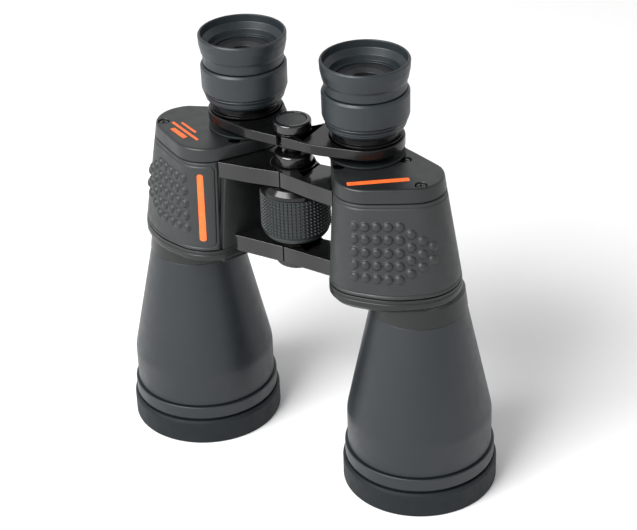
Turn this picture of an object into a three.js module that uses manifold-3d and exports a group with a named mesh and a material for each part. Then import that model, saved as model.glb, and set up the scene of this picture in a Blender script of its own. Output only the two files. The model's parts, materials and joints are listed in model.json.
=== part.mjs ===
// Astronomy binoculars of the 12 x 60 class: two Porro-prism telescopes on one hinge, centre focus.
// Millimetres. They stand on their objective ends: +Z runs up towards the eyepieces, -Y is the side
// that is uppermost in use, and left and right are the user's: the left half is on +X.
// The origin lies midway between the two objective axes, on the plane that the bumpers stand on.
import * as THREE from 'three';
import { mergeVertices } from 'three/addons/utils/BufferGeometryUtils.js';
import Module from 'manifold-3d';

// ---- driving dimensions -------------------------------------------------------------------------
const HINGE_Y = -5.9;                            // the hinge axis, seen from the objective axes
const CENTRE = { x: 0, y: 0 };                   // the hinge axis itself
const OBJECTIVE = { x: 68.9, y: 5.9 };           // axes of one half, seen from the hinge axis
const EYEPIECE = { x: 36.0, y: 12.5 };
const GAP = 0.3;                                 // between pieces that touch on the real object

const BUMPER = { radius: 41.3, height: 14.3, lip: 3.0, mouth: 34.5 };
const END_RING = { radius: 40.0, core: 38.7, seat: 13.2, base: 15.7, top: 23.0 };
const BARREL = { radius: 38.5, foot: 13.6, coneBase: 43.0, coneTop: 106.2, neck: 25.0, wall: 2.0 };
const SPIGOT = { radius: 19.5, top: 122.0 };      // end of the barrel that screws into the housing
const LENS = { radius: 31.0, clear: 30.0, front: 14.6, split: 24.2, lip: 26.0, back: 27.0 };
const RETAINER = { bore: 29.6, base: 13.9, top: 17.3 };

const FLANGE = { base: 116.5, top: 125.2 };      // foot of the prism housing, below the armour
const COLLAR = { foot: 25.3, top: 24.0, shoulder: 20.9 }; // socket under the flange, round the barrel's end
const ARMOUR = { base: 125.5, top: 175.2, skin: 1.7, step: 2.0, end: 137 };
const COVER = { base: 175.6, top: 183.0 };
const CAVITY_INSET = 4.2;                        // inside of the housing wall, from the armour face
const LEDGE_INSET = 6.2;                         // rim that the cover is screwed to
const SHELF = { base: 149.4, top: 150.6 };

// Plan of a housing, seen from the hinge axis: the hull of five circles at the armour's two ends.
const PLAN_BASE = [
  { x: 37.5, y: 11.0, r: 17.0 },                 // around the eyepiece axis
  { x: 68.4, y: 2.3, r: 24.4 },                  // outer end, around the objective axis
  { x: 57.9, y: 2.1, r: 30.4 },                  // bulge of the front and back
  { x: 48.5, y: -10.8, r: 19.6 },                // front corner beside the hinge
  { x: 72.4, y: 10.9, r: 13.0 },                 // outer corner of the back
];
const PLAN_TOP = [
  { x: 36.0, y: 12.5, r: 18.3 },
  { x: 67.3, y: 2.6, r: 17.4 },
  { x: 58.0, y: 2.1, r: 20.5 },
  { x: 47.9, y: -8.3, r: 17.4 },
  { x: 72.4, y: 10.9, r: 7.6 },
];
const COVER_SCREWS = [[31.0, -7.0], [76.6, -5.4], [57.0, 14.6]];

const LUG_UPPER = { base: 166.4, top: 175.3, front: [[0.15, -14.0], [8, -15.2], [18, -17.0], [36, -19.2]] };
const LUG_LOWER = { base: 122.3, top: 131.5, front: [[0.15, -13.6], [10, -13.9], [20, -14.2], [36, -14.8]] };
const LUG_HUB = { outer: 11.5, bore: 6.3 };
const HINGE = { radius: 6.0, bore: 4.4, collar: 9.95, collarTop: 182.0 };

const WHEEL = { grip: 18.3, core: 15.5, hub: 12.0, base: 132.7, gripBase: 139.5, gripTop: 163.0, top: 166.1 };
const FLARE = { radius: 16.5, base: 136.6 };      // foot of the wheel, below its grip
const SPINDLE = { radius: 3.9, base: 136.0, collar: 8.8, collarHeight: 1.8 };
const ARM = { base: 188.1, top: 193.7, hub: 8.8, ring: 19.7, bore: 15.6 };
const ARM_FRONT = [[10, -10.9], [20, -11.0], [28, -9.8], [36, -8.0]];
const BUTTON = { radius: 9.9, base: 194.0, top: 199.5, inset: 8.0 };

const SLEEVE = { flange: 19.8, radius: 13.2, bore: 12.0, top: 196.4 };
const TUBE = { radius: 17.2, core: 15.0, base: 188.3, shoulder: 204.6, top: 219.0 };
const OCULAR = { radius: 22.3, foot: 19.5, skirt: 20.7, base: 200.4, waist: 204.5, band: 206.4, top: 219.3 };
const CELL = { radius: 15.0, stem: 11.6, bore: 9.6, foot: 209.0, base: 221.5, top: 225.5, opening: 7.5 };
const EYECUP = { neck: 21.0, rim: 22.8, top: 235.4, wall: 1.5, throat: 18.0, throatTop: 228.0, floor: 226.0 };

const WASHER = { bore: 6.4, radius: 10.0, base: 131.8, top: 132.4 };
const SOCKET = { outer: 5.2, thread: 3.175, boss: 7.0, base: 120.4, top: 128.7 };
const TRIPOD_CAP = { radius: 11.5, bore: 7.6, stud: 2.8, base: 116.8, floor: 118.6, top: 121.6 };

const PRISM = { width: 22.0, flat: 1.2, rest: 0.4 };
const ROUND = 24;                                // sides of the large round pieces
const SMALL = 16;                                // sides of the small ones
const PLAN_STEPS = 32;                           // points round a housing

// ---- solids -------------------------------------------------------------------------------------
const wasm = await Module();
wasm.setup();

function toSolid(geometry) {
  const bare = geometry.clone();
  bare.deleteAttribute('normal');
  bare.deleteAttribute('uv');
  const merged = mergeVertices(bare, 1e-4);
  return new wasm.Manifold(new wasm.Mesh({
    numProp: 3,
    vertProperties: new Float32Array(merged.attributes.position.array),
    triVerts: new Uint32Array(merged.index.array),
  }));
}

function toGeometry(solid) {
  const mesh = solid.getMesh();
  const geometry = new THREE.BufferGeometry();
  geometry.setAttribute('position', new THREE.BufferAttribute(new Float32Array(mesh.vertProperties), 3));
  geometry.setIndex(Array.from(mesh.triVerts));
  geometry.computeVertexNormals();
  return geometry;
}

// Joins the first list of geometries and cuts the second from them.
function carve(joined, removed) {
  let solid = toSolid(joined[0]);
  for (const piece of joined.slice(1)) solid = solid.add(toSolid(piece));
  for (const piece of removed) solid = solid.subtract(toSolid(piece));
  return toGeometry(solid);
}

// A turned piece: profile points are [radius, height], and the axis is vertical through the place.
function turned(profile, place, sides = ROUND) {
  const points = profile.map(([r, z]) => new THREE.Vector2(r, z));
  const onAxis = profile[0][0] === 0 && profile.at(-1)[0] === 0;
  if (!onAxis) points.push(points[0].clone());
  const geometry = new THREE.LatheGeometry(points, sides);
  geometry.rotateX(Math.PI / 2);
  geometry.translate(place.x, place.y, 0);
  return geometry;
}

function rod(place, radius, base, top, sides = SMALL) {
  return turned([[0, base], [radius, base], [radius, top], [0, top]], place, sides);
}

function slab(corners, base, top) {
  const shape = new THREE.Shape(corners.map(([x, y]) => new THREE.Vector2(x, y)));
  const geometry = new THREE.ExtrudeGeometry(shape, { depth: top - base, bevelEnabled: false });
  geometry.translate(0, 0, base);
  return geometry;
}

// A closed skin through a run of equal sections, each a loop of corners given as [x, y, z], with the
// first and last section covered.
function skin(sections) {
  const corners = sections[0].length;
  const positions = sections.flat(2);
  const faces = [];
  for (let i = 0; i < sections.length - 1; i += 1) {
    const here = i * corners;
    const next = here + corners;
    for (let j = 0; j < corners; j += 1) {
      const k = (j + 1) % corners;
      faces.push(here + j, next + j, here + k, next + j, next + k, here + k);
    }
  }
  const last = (sections.length - 1) * corners;
  for (let j = 1; j < corners - 1; j += 1) {
    faces.push(0, j, j + 1, last, last + j + 1, last + j);
  }
  const geometry = new THREE.BufferGeometry();
  geometry.setAttribute('position', new THREE.Float32BufferAttribute(positions, 3));
  geometry.setIndex(faces);
  geometry.computeVertexNormals();
  return geometry;
}

// The other half of the binoculars: the same piece seen in a mirror on the plane X = 0.
function mirrored(geometry) {
  const copy = geometry.clone();
  copy.scale(-1, 1, 1);
  const flat = copy.index ? copy : mergeVertices(copy);
  const order = flat.index.array.slice();
  for (let i = 0; i < order.length; i += 3) [order[i], order[i + 1]] = [order[i + 1], order[i]];
  flat.setIndex(Array.from(order));
  flat.computeVertexNormals();
  return flat;
}

// ---- plan of the housing ------------------------------------------------------------------------
function planPoint(angle, z, inset) {
  const rise = (Math.max(z, ARMOUR.base) - ARMOUR.base) / (ARMOUR.top - ARMOUR.base);
  const facing = [Math.cos(angle), Math.sin(angle)];
  const circles = PLAN_BASE.map((low, i) => ({
    x: low.x + (PLAN_TOP[i].x - low.x) * rise,
    y: low.y + (PLAN_TOP[i].y - low.y) * rise,
    r: low.r + (PLAN_TOP[i].r - low.r) * rise,
  }));
  const reach = circle => circle.x * facing[0] + circle.y * facing[1] + circle.r;
  const circle = circles.reduce((best, other) => (reach(other) > reach(best) ? other : best));
  const radius = circle.r - inset;
  return [circle.x + radius * facing[0], circle.y + radius * facing[1], z];
}

// A solid that follows the plan: levels are [height, inset from the armour's outer face].
function planSolid(levels) {
  const sections = levels.map(([z, inset]) => {
    const ring = [];
    for (let i = 0; i < PLAN_STEPS; i += 1) ring.push(planPoint((i / PLAN_STEPS) * 2 * Math.PI, z, inset));
    return ring.reverse();
  });
  return skin(sections);
}

// ---- prism housing, armour and cover ------------------------------------------------------------
// A hinge lug: a flat arm with a straight front skirt and a knuckle round the hinge. The halves'
// knuckles lie one above the other, and each half's skirt stands clear of the other's knuckle.
function lug(level, knuckleBase, knuckleTop) {
  const arm = slab([...level.front, [36, 5.0], [11, 3.5]], level.base, level.top);
  const sweep = rod(CENTRE, LUG_HUB.outer + GAP, level.base - 1, level.top + 1, ROUND);
  const knuckle = rod(CENTRE, LUG_HUB.outer, knuckleBase, knuckleTop, ROUND);
  const web = slab([[2, -10.5], [14, -12], [14, 3.5], [2, 8]], knuckleBase, knuckleTop);
  const bore = rod(CENTRE, LUG_HUB.bore, level.base - 1, level.top + 1);
  const cutArm = carve([arm], [sweep]);
  return carve([cutArm, knuckle, web], [bore]);
}

function halves(level) {
  const middle = (level.base + level.top) / 2;
  return { low: [level.base, middle - GAP / 2], high: [middle + GAP / 2, level.top] };
}

function prismHousing(part) {
  const shell = planSolid([
    [FLANGE.base, 4.5], [FLANGE.base + 1.2, 1.8], [FLANGE.base + 3.5, 0], [FLANGE.top, 0],
    [FLANGE.top + 0.01, ARMOUR.step], [ARMOUR.top, ARMOUR.step],
  ]);
  const collar = turned([
    [0, BARREL.coneTop + GAP], [COLLAR.foot, BARREL.coneTop + GAP], [COLLAR.top, FLANGE.base],
    [COLLAR.shoulder, FLANGE.base + 3], [COLLAR.shoulder, FLANGE.top - 1], [0, FLANGE.top - 1],
  ], OBJECTIVE);
  const cavityLevels = [FLANGE.base + 4.5, ARMOUR.base, SHELF.base, ARMOUR.top - 5];
  const cavity = planSolid(cavityLevels.map(z => [z, CAVITY_INSET]));
  const rim = planSolid([[ARMOUR.top - 5.5, LEDGE_INSET], [ARMOUR.top + 1, LEDGE_INSET]]);
  const bore = rod(OBJECTIVE, SPIGOT.radius + GAP, BARREL.coneTop - 1, FLANGE.base + 6, ROUND);
  const screwHoles = COVER_SCREWS.map(([x, y]) => rod({ x, y }, 1.6, ARMOUR.top - 7, ARMOUR.top + 1, 8));
  const upper = lug(LUG_UPPER, ...halves(LUG_UPPER)[part]);
  const lower = lug(LUG_LOWER, ...halves(LUG_LOWER)[part]);
  return carve([shell, collar, upper, lower], [cavity, rim, bore, ...screwHoles]);
}

// The rubber armour runs round the housing from its front inner corner to its back inner corner.
function armour() {
  const end = THREE.MathUtils.degToRad(ARMOUR.end);
  const steps = Math.round(PLAN_STEPS * (ARMOUR.end / 180));
  const sections = [];
  for (let i = 0; i <= steps; i += 1) {
    const angle = -end + (2 * end * i) / steps;
    sections.push([
      planPoint(angle, ARMOUR.base, 0), planPoint(angle, ARMOUR.top, 0),
      planPoint(angle, ARMOUR.top, ARMOUR.skin), planPoint(angle, ARMOUR.base, ARMOUR.skin),
    ]);
  }
  return skin(sections);
}

function coverPlate() {
  const plate = planSolid([[COVER.base, 0.4], [COVER.base + 0.6, 0], [COVER.top - 0.8, 0], [COVER.top, 0.8]]);
  const eyepieceHole = rod(EYEPIECE, SLEEVE.radius + GAP, COVER.base - 1, COVER.top + 1, ROUND);
  const screwHoles = COVER_SCREWS.map(([x, y]) => turned([
    [0, COVER.base - 1], [1.6, COVER.base - 1], [1.6, COVER.top - 2.4], [3.0, COVER.top - 2.4],
    [3.0, COVER.top + 1], [0, COVER.top + 1],
  ], { x, y }, 10));
  return carve([plate], [eyepieceHole, ...screwHoles]);
}

function coverScrew([x, y]) {
  const seat = COVER.top - 2.1;
  const tip = ARMOUR.top - 5.5;
  const top = COVER.top - 0.5;
  return turned([[0, tip], [1.3, tip], [1.3, seat], [2.7, seat], [2.7, top], [0, top]], { x, y }, 10);
}

// ---- prisms -------------------------------------------------------------------------------------
// The light turns at a point between the objective and eyepiece axes, a quarter turn of the pair.
const OFFSET = { x: EYEPIECE.x - OBJECTIVE.x, y: EYEPIECE.y - OBJECTIVE.y };
const CROSSING = {
  x: OBJECTIVE.x + (OFFSET.x - OFFSET.y) / 2,
  y: OBJECTIVE.y + (OFFSET.x + OFFSET.y) / 2,
};
const PRISM_LENGTH = Math.hypot(OFFSET.x, OFFSET.y) * Math.SQRT2;

// Where a prism between two light axes stands, and how far it is turned.
function prismSeat(from, to) {
  return {
    x: (from.x + to.x) / 2,
    y: (from.y + to.y) / 2,
    turn: Math.atan2(to.y - from.y, to.x - from.x),
  };
}
const UPPER_SEAT = { ...prismSeat(OBJECTIVE, CROSSING), z: SHELF.top + PRISM.rest, up: 1 };
const LOWER_SEAT = { ...prismSeat(CROSSING, EYEPIECE), z: SHELF.base - PRISM.rest, up: -1 };

// Puts a geometry that was drawn upright on X onto a seat, hanging head down under the shelf if need be.
function seated(geometry, seat) {
  if (seat.up < 0) geometry.rotateX(Math.PI);
  geometry.rotateZ(seat.turn);
  geometry.translate(seat.x, seat.y, seat.z);
  return geometry;
}

function prism(seat) {
  const half = PRISM_LENGTH / 2;
  const outline = [
    [-half, 0], [half, 0], [PRISM.flat, half - PRISM.flat], [-PRISM.flat, half - PRISM.flat],
  ];
  const roof = slab(outline, -PRISM.width / 2, PRISM.width / 2);
  roof.rotateX(Math.PI / 2);
  const end = half - PRISM.width / 2;
  const rounded = new THREE.Shape();
  rounded.absarc(end, 0, PRISM.width / 2 - 0.01, -Math.PI / 2, Math.PI / 2);
  rounded.absarc(-end, 0, PRISM.width / 2 - 0.01, Math.PI / 2, 1.5 * Math.PI);
  const depth = half + 2;
  const footprint = new THREE.ExtrudeGeometry(rounded, { depth, bevelEnabled: false, curveSegments: 6 });
  footprint.translate(0, 0, -1);
  return seated(toGeometry(toSolid(roof).intersect(toSolid(footprint))), seat);
}

// A spring strap over the ridge of a prism, down both of its sides to the shelf.
function prismClip(seat) {
  const inner = PRISM.width / 2 + 0.4;
  const outer = inner + 0.8;
  const ridge = PRISM_LENGTH / 2 - PRISM.flat;
  const outline = [
    [-outer, 0], [-inner, 0], [-inner, ridge + GAP], [inner, ridge + GAP], [inner, 0], [outer, 0],
    [outer, ridge + GAP + 0.8], [-outer, ridge + GAP + 0.8],
  ];
  const strap = slab(outline, -3, 3);
  strap.rotateX(Math.PI / 2);
  strap.rotateZ(Math.PI / 2);
  return seated(strap, seat);
}

function prismShelf() {
  const inset = CAVITY_INSET + 0.4;
  const plate = planSolid([[SHELF.base, inset], [SHELF.top, inset]]);
  const axes = [OBJECTIVE, CROSSING, EYEPIECE];
  const windows = axes.map(axis => rod(axis, 8.5, SHELF.base - 1, SHELF.top + 1, 12));
  return carve([plate], windows);
}

// ---- objective end ------------------------------------------------------------------------------
function bumper() {
  const inner = END_RING.core + GAP;
  return turned([
    [BUMPER.mouth, 0], [BUMPER.radius - 1, 0], [BUMPER.radius, 1], [BUMPER.radius, BUMPER.height - 1],
    [BUMPER.radius - 1, BUMPER.height], [inner, BUMPER.height], [inner, BUMPER.lip],
    [BUMPER.mouth, BUMPER.lip],
  ], OBJECTIVE);
}

function endRing() {
  const foot = BUMPER.lip + GAP;
  const bore = BARREL.radius - 1.6;
  return turned([
    [BUMPER.mouth, foot], [END_RING.core, foot], [END_RING.core, END_RING.base],
    [END_RING.radius, END_RING.base], [END_RING.radius, END_RING.top], [bore, END_RING.top],
    [bore, END_RING.seat], [BUMPER.mouth, END_RING.seat],
  ], OBJECTIVE);
}

function objectiveBarrel() {
  const spigot = BARREL.radius - 1.9;
  const foot = END_RING.top + GAP;
  const inner = BARREL.radius - BARREL.wall;
  return turned([
    [LENS.radius + 0.4, BARREL.foot], [spigot, BARREL.foot], [spigot, foot], [BARREL.radius, foot],
    [BARREL.radius, BARREL.coneBase], [BARREL.neck, BARREL.coneTop], [SPIGOT.radius, BARREL.coneTop],
    [SPIGOT.radius, SPIGOT.top], [SPIGOT.radius - BARREL.wall, SPIGOT.top],
    [SPIGOT.radius - BARREL.wall, BARREL.coneTop - 2], [inner, BARREL.coneBase], [inner, LENS.lip + 4],
    [LENS.clear, LENS.lip + 2], [LENS.clear, LENS.lip], [LENS.radius + 0.4, LENS.lip],
  ], OBJECTIVE);
}

// Heights of a shallow spherical face that bulges by sag from its rim to its middle.
function face(radius, middle, sag, steps = 2) {
  const points = [];
  for (let i = 0; i <= steps; i += 1) {
    const r = (radius * i) / steps;
    points.push([r, middle + sag * (r / radius) ** 2]);
  }
  return points;
}

// A lens from its lower face to its upper face; each face is [height at the middle, rise at the rim].
function lens(radius, lower, upper, place, sides) {
  return turned([...face(radius, ...lower), ...face(radius, ...upper).reverse()], place, sides);
}

function retainingRing() {
  const outer = LENS.radius + 0.1;
  return turned([
    [RETAINER.bore, RETAINER.base], [outer, RETAINER.base], [outer, RETAINER.top],
    [RETAINER.bore, RETAINER.top],
  ], OBJECTIVE, SMALL);
}

// ---- eyepiece end -------------------------------------------------------------------------------
function eyepieceSleeve() {
  const foot = COVER.top + GAP;
  return turned([
    [SLEEVE.bore, COVER.base + GAP], [SLEEVE.radius, COVER.base + GAP], [SLEEVE.radius, foot],
    [SLEEVE.flange, foot], [SLEEVE.flange, foot + 1.8], [SLEEVE.radius, foot + 1.8],
    [SLEEVE.radius, SLEEVE.top], [SLEEVE.bore, SLEEVE.top],
  ], EYEPIECE, SMALL);
}

function eyepieceTube() {
  const slide = SLEEVE.radius + GAP;
  return turned([
    [slide, TUBE.base], [ARM.bore - GAP, TUBE.base], [ARM.bore - GAP, ARM.top + GAP],
    [TUBE.radius, ARM.top + GAP], [TUBE.radius, TUBE.shoulder], [TUBE.core, TUBE.shoulder],
    [TUBE.core, TUBE.top], [CELL.stem + GAP, TUBE.top], [CELL.stem + GAP, OCULAR.base], [slide, OCULAR.base],
  ], EYEPIECE);
}

function ocularRing() {
  return turned([
    [TUBE.radius + 0.4, OCULAR.base], [OCULAR.foot, OCULAR.base], [OCULAR.skirt, OCULAR.waist],
    [OCULAR.radius, OCULAR.band], [OCULAR.radius, OCULAR.top - 1], [OCULAR.radius - 1, OCULAR.top],
    [TUBE.core + 0.4, OCULAR.top], [TUBE.core + 0.4, OCULAR.band], [TUBE.radius + 0.4, OCULAR.band],
  ], EYEPIECE);
}

function eyeLensCell() {
  return turned([
    [CELL.bore, CELL.foot], [CELL.stem, CELL.foot], [CELL.stem, CELL.base], [CELL.radius, CELL.base],
    [CELL.radius, CELL.top], [CELL.opening, CELL.top - 0.6], [CELL.opening, CELL.base - 0.4],
    [CELL.bore, CELL.base - 0.4],
  ], EYEPIECE, SMALL);
}

function eyecup() {
  const foot = OCULAR.top + GAP;
  const bore = CELL.radius + 0.4;
  return turned([
    [bore, foot], [EYECUP.neck, foot], [EYECUP.neck + 0.3, foot + 5], [EYECUP.rim, EYECUP.top - 3],
    [EYECUP.rim, EYECUP.top], [EYECUP.rim - EYECUP.wall, EYECUP.top],
    [EYECUP.throat + 1, EYECUP.throatTop + 3.5], [EYECUP.throat, EYECUP.throatTop], [bore, EYECUP.floor],
  ], EYEPIECE);
}

// ---- hinge and focusing gear --------------------------------------------------------------------
function hingeBush() {
  const seat = LUG_UPPER.top + GAP;
  return turned([
    [HINGE.bore, LUG_UPPER.base], [HINGE.radius, LUG_UPPER.base], [HINGE.radius, seat], [HINGE.collar, seat],
    [HINGE.collar, HINGE.collarTop - 1.5], [HINGE.collar - 1.5, HINGE.collarTop],
    [HINGE.bore, HINGE.collarTop],
  ], CENTRE, SMALL);
}

function hingePin() {
  const bore = SOCKET.outer + GAP;
  const foot = LUG_LOWER.base - GAP;
  return turned([
    [0, SOCKET.top + GAP], [bore, SOCKET.top + GAP], [bore, SOCKET.base - 0.1],
    [SOCKET.boss, SOCKET.base - 0.1], [SOCKET.boss, foot],
    [HINGE.radius, foot], [HINGE.radius, LUG_LOWER.top], [0, LUG_LOWER.top],
  ], CENTRE, SMALL);
}

function tripodSocket() {
  return turned([
    [SOCKET.thread, SOCKET.base], [SOCKET.outer, SOCKET.base], [SOCKET.outer, SOCKET.top],
    [SOCKET.thread, SOCKET.top],
  ], CENTRE, SMALL);
}

// A screw-in cap over the tripod socket: a domed cup with a stud.
function tripodCap() {
  return turned([
    [0, TRIPOD_CAP.base], [TRIPOD_CAP.radius - 3, TRIPOD_CAP.base],
    [TRIPOD_CAP.radius - 0.8, TRIPOD_CAP.base + 1.2], [TRIPOD_CAP.radius, TRIPOD_CAP.base + 3],
    [TRIPOD_CAP.radius, TRIPOD_CAP.top], [TRIPOD_CAP.bore, TRIPOD_CAP.top],
    [TRIPOD_CAP.bore, TRIPOD_CAP.floor], [TRIPOD_CAP.stud, TRIPOD_CAP.floor],
    [TRIPOD_CAP.stud, SOCKET.top - 2], [0, SOCKET.top - 2],
  ], CENTRE, SMALL);
}

function thrustWasher() {
  return turned([
    [WASHER.bore, WASHER.base], [WASHER.radius, WASHER.base], [WASHER.radius, WASHER.top],
    [WASHER.bore, WASHER.top],
  ], CENTRE, SMALL);
}

function focusWheel() {
  const bore = SPINDLE.radius + 0.4;
  return turned([
    [bore, WHEEL.base], [WHEEL.hub, WHEEL.base], [WHEEL.hub, FLARE.base - 0.6], [FLARE.radius, FLARE.base],
    [FLARE.radius, WHEEL.gripBase - GAP], [WHEEL.core, WHEEL.gripBase - GAP],
    [WHEEL.core, WHEEL.gripTop + GAP], [WHEEL.grip - 0.7, WHEEL.gripTop + GAP],
    [WHEEL.grip - 4.3, WHEEL.top], [bore, WHEEL.top],
  ], CENTRE);
}

function focusWheelGrip() {
  const inner = WHEEL.core + GAP;
  return turned([
    [inner, WHEEL.gripBase], [WHEEL.grip, WHEEL.gripBase], [WHEEL.grip, WHEEL.gripTop],
    [inner, WHEEL.gripTop],
  ], CENTRE);
}

function focusSpindle() {
  const shoulder = ARM.base - GAP;
  return turned([
    [0, SPINDLE.base], [SPINDLE.radius, SPINDLE.base], [SPINDLE.radius, shoulder - SPINDLE.collarHeight],
    [SPINDLE.collar, shoulder - SPINDLE.collarHeight], [SPINDLE.collar, shoulder], [SPINDLE.radius, shoulder],
    [SPINDLE.radius, BUTTON.base + 2], [0, BUTTON.base + 2],
  ], CENTRE, SMALL);
}

function spindleCap() {
  const bore = SPINDLE.radius + GAP;
  return turned([
    [0, BUTTON.base + 2 + GAP], [bore, BUTTON.base + 2 + GAP], [bore, BUTTON.base],
    [BUTTON.radius, BUTTON.base],
    [BUTTON.radius, BUTTON.top - 1.3], [BUTTON.radius - 1.2, BUTTON.top], [BUTTON.inset, BUTTON.top],
    [BUTTON.inset - 0.3, BUTTON.top - 0.6], [0, BUTTON.top - 0.6],
  ], CENTRE);
}

const EYEPIECE_CORNER = [EYEPIECE.x, EYEPIECE.y + ARM.ring - 4];

// An arm of the ocular bridge, from its knuckle on the spindle to the ring that grips the eyepiece.
function ocularArm(part, inner) {
  const [knuckleBase, knuckleTop] = halves(ARM)[part];
  const outline = [[inner, -10.8], ...ARM_FRONT, EYEPIECE_CORNER, [19.5, 24.5], [6, 8.3]];
  const arm = slab(outline, ARM.base, ARM.top);
  const sweep = rod(CENTRE, ARM.hub + GAP, ARM.base - 1, ARM.top + 1, ROUND);
  const ring = rod(EYEPIECE, ARM.ring, ARM.base, ARM.top, ROUND);
  const knuckle = rod(CENTRE, ARM.hub, knuckleBase, knuckleTop, ROUND);
  const web = slab([[1, -8.6], [12, -9.5], [12, 12], [2, 8.4]], knuckleBase, knuckleTop);
  const grip = rod(EYEPIECE, ARM.bore, ARM.base - 1, ARM.top + 1, ROUND);
  const bore = rod(CENTRE, SPINDLE.radius + 0.4, ARM.base - 1, ARM.top + 1, SMALL);
  const cutArm = carve([arm], [sweep]);
  return carve([cutArm, ring, knuckle, web], [grip, bore]);
}

// ---- finishes -----------------------------------------------------------------------------------
const FINISHES = {
  rubber: { color: 0x46494b, roughness: 0.72, metalness: 0.0 },
  casting: { color: 0x4a4d4e, roughness: 0.55, metalness: 0.1 },
  barrel: { color: 0x454b4d, roughness: 0.5, metalness: 0.1 },
  cover: { color: 0x3c3f41, roughness: 0.5, metalness: 0.0 },
  gloss: { color: 0x101112, roughness: 0.15, metalness: 0.0 },
  blackened: { color: 0x16181a, roughness: 0.45, metalness: 0.4 },
  steel: { color: 0x9a9ca0, roughness: 0.35, metalness: 0.9 },
  brass: { color: 0xb08d4a, roughness: 0.35, metalness: 0.9 },
  glass: { color: 0xdfe8ea, roughness: 0.02, metalness: 0.0 },
};

const binoculars = new THREE.Group();
binoculars.position.set(0, HINGE_Y, 0);

function add(name, geometry, finish) {
  const mesh = new THREE.Mesh(geometry, new THREE.MeshStandardMaterial(FINISHES[finish]));
  mesh.name = name;
  binoculars.add(mesh);
}

// ---- the two halves -----------------------------------------------------------------------------
const crownLens = lens(LENS.radius, [LENS.front, 3.2], [LENS.split, -4.7], OBJECTIVE, SMALL);
const flintLens = lens(LENS.radius, [LENS.split + GAP, -4.7], [LENS.back, -1.2], OBJECTIVE, SMALL);
const fieldLens = lens(11.6, [201.6, 1.0], [206.4, -1.4], EYEPIECE, SMALL);
const eyeLens = lens(9.3, [214.0, 1.4], [220.4, -1.0], EYEPIECE, SMALL);

for (const side of ['left', 'right']) {
  const knuckles = side === 'left' ? 'high' : 'low';
  const place = side === 'left' ? geometry => geometry : mirrored;
  const armStart = side === 'left' ? -0.15 : 2.7;
  const pieces = [
    ['prism_housing', prismHousing(knuckles), 'casting'],
    ['armour', armour(), 'rubber'],
    ['cover_plate', coverPlate(), 'cover'],
    ...COVER_SCREWS.map((at, i) => [`cover_screw_${i + 1}`, coverScrew(at), 'blackened']),
    ['prism_shelf', prismShelf(), 'steel'],
    ['upper_prism', prism(UPPER_SEAT), 'glass'],
    ['lower_prism', prism(LOWER_SEAT), 'glass'],
    ['upper_prism_clip', prismClip(UPPER_SEAT), 'steel'],
    ['lower_prism_clip', prismClip(LOWER_SEAT), 'steel'],
    ['objective_barrel', objectiveBarrel(), 'barrel'],
    ['objective_end_ring', endRing(), 'barrel'],
    ['objective_bumper', bumper(), 'rubber'],
    ['objective_crown_lens', crownLens, 'glass'],
    ['objective_flint_lens', flintLens, 'glass'],
    ['objective_retaining_ring', retainingRing(), 'blackened'],
    ['eyepiece_sleeve', eyepieceSleeve(), 'blackened'],
    ['eyepiece_tube', eyepieceTube(), 'gloss'],
    ['ocular_ring', ocularRing(), 'rubber'],
    ['eye_lens_cell', eyeLensCell(), 'blackened'],
    ['eyecup', eyecup(), 'rubber'],
    ['field_lens', fieldLens, 'glass'],
    ['eye_lens', eyeLens, 'glass'],
    ['ocular_arm', ocularArm(knuckles, armStart), 'casting'],
  ];
  for (const [name, geometry, finish] of pieces) add(`${side}_${name}`, place(geometry), finish);
}

// ---- the centre ---------------------------------------------------------------------------------
add('hinge_bush', hingeBush(), 'gloss');
add('hinge_pin', hingePin(), 'blackened');
add('thrust_washer', thrustWasher(), 'brass');
add('focus_wheel', focusWheel(), 'gloss');
add('focus_wheel_grip', focusWheelGrip(), 'rubber');
add('focus_spindle', focusSpindle(), 'steel');
add('spindle_cap', spindleCap(), 'gloss');
add('tripod_socket', tripodSocket(), 'brass');
add('tripod_cap', tripodCap(), 'casting');

export default binoculars;
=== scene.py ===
import json
import math

import bmesh
import bpy
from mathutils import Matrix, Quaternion, Vector


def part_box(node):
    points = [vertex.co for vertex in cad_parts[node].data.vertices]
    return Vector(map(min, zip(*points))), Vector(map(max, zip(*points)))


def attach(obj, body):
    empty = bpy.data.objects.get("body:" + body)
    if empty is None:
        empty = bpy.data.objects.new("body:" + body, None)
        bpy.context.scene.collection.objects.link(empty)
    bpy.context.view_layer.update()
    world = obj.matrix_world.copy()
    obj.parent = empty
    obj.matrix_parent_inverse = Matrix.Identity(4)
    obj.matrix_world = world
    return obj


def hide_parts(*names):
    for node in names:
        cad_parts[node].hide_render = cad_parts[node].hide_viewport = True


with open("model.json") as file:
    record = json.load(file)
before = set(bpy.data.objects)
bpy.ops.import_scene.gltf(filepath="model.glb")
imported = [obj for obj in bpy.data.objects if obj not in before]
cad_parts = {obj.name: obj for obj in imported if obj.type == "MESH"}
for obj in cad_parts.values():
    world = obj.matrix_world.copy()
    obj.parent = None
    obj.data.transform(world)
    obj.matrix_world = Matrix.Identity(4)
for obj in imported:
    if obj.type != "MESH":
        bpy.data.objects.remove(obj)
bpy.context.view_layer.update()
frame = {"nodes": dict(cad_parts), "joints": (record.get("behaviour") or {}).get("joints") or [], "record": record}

MM = 0.001
GAP = 0.3                                 # between pieces that touch
ROUND = 144                               # segments of a large round piece
SMALL = 64                                # segments of a small one

BODY_OF = {n: body for body, nodes in frame["record"]["behaviour"]["bodies"].items() for n in nodes}
SLOT_OF = {s["node"]: s["material_slot"] for s in frame["record"]["subparts"]}


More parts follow.
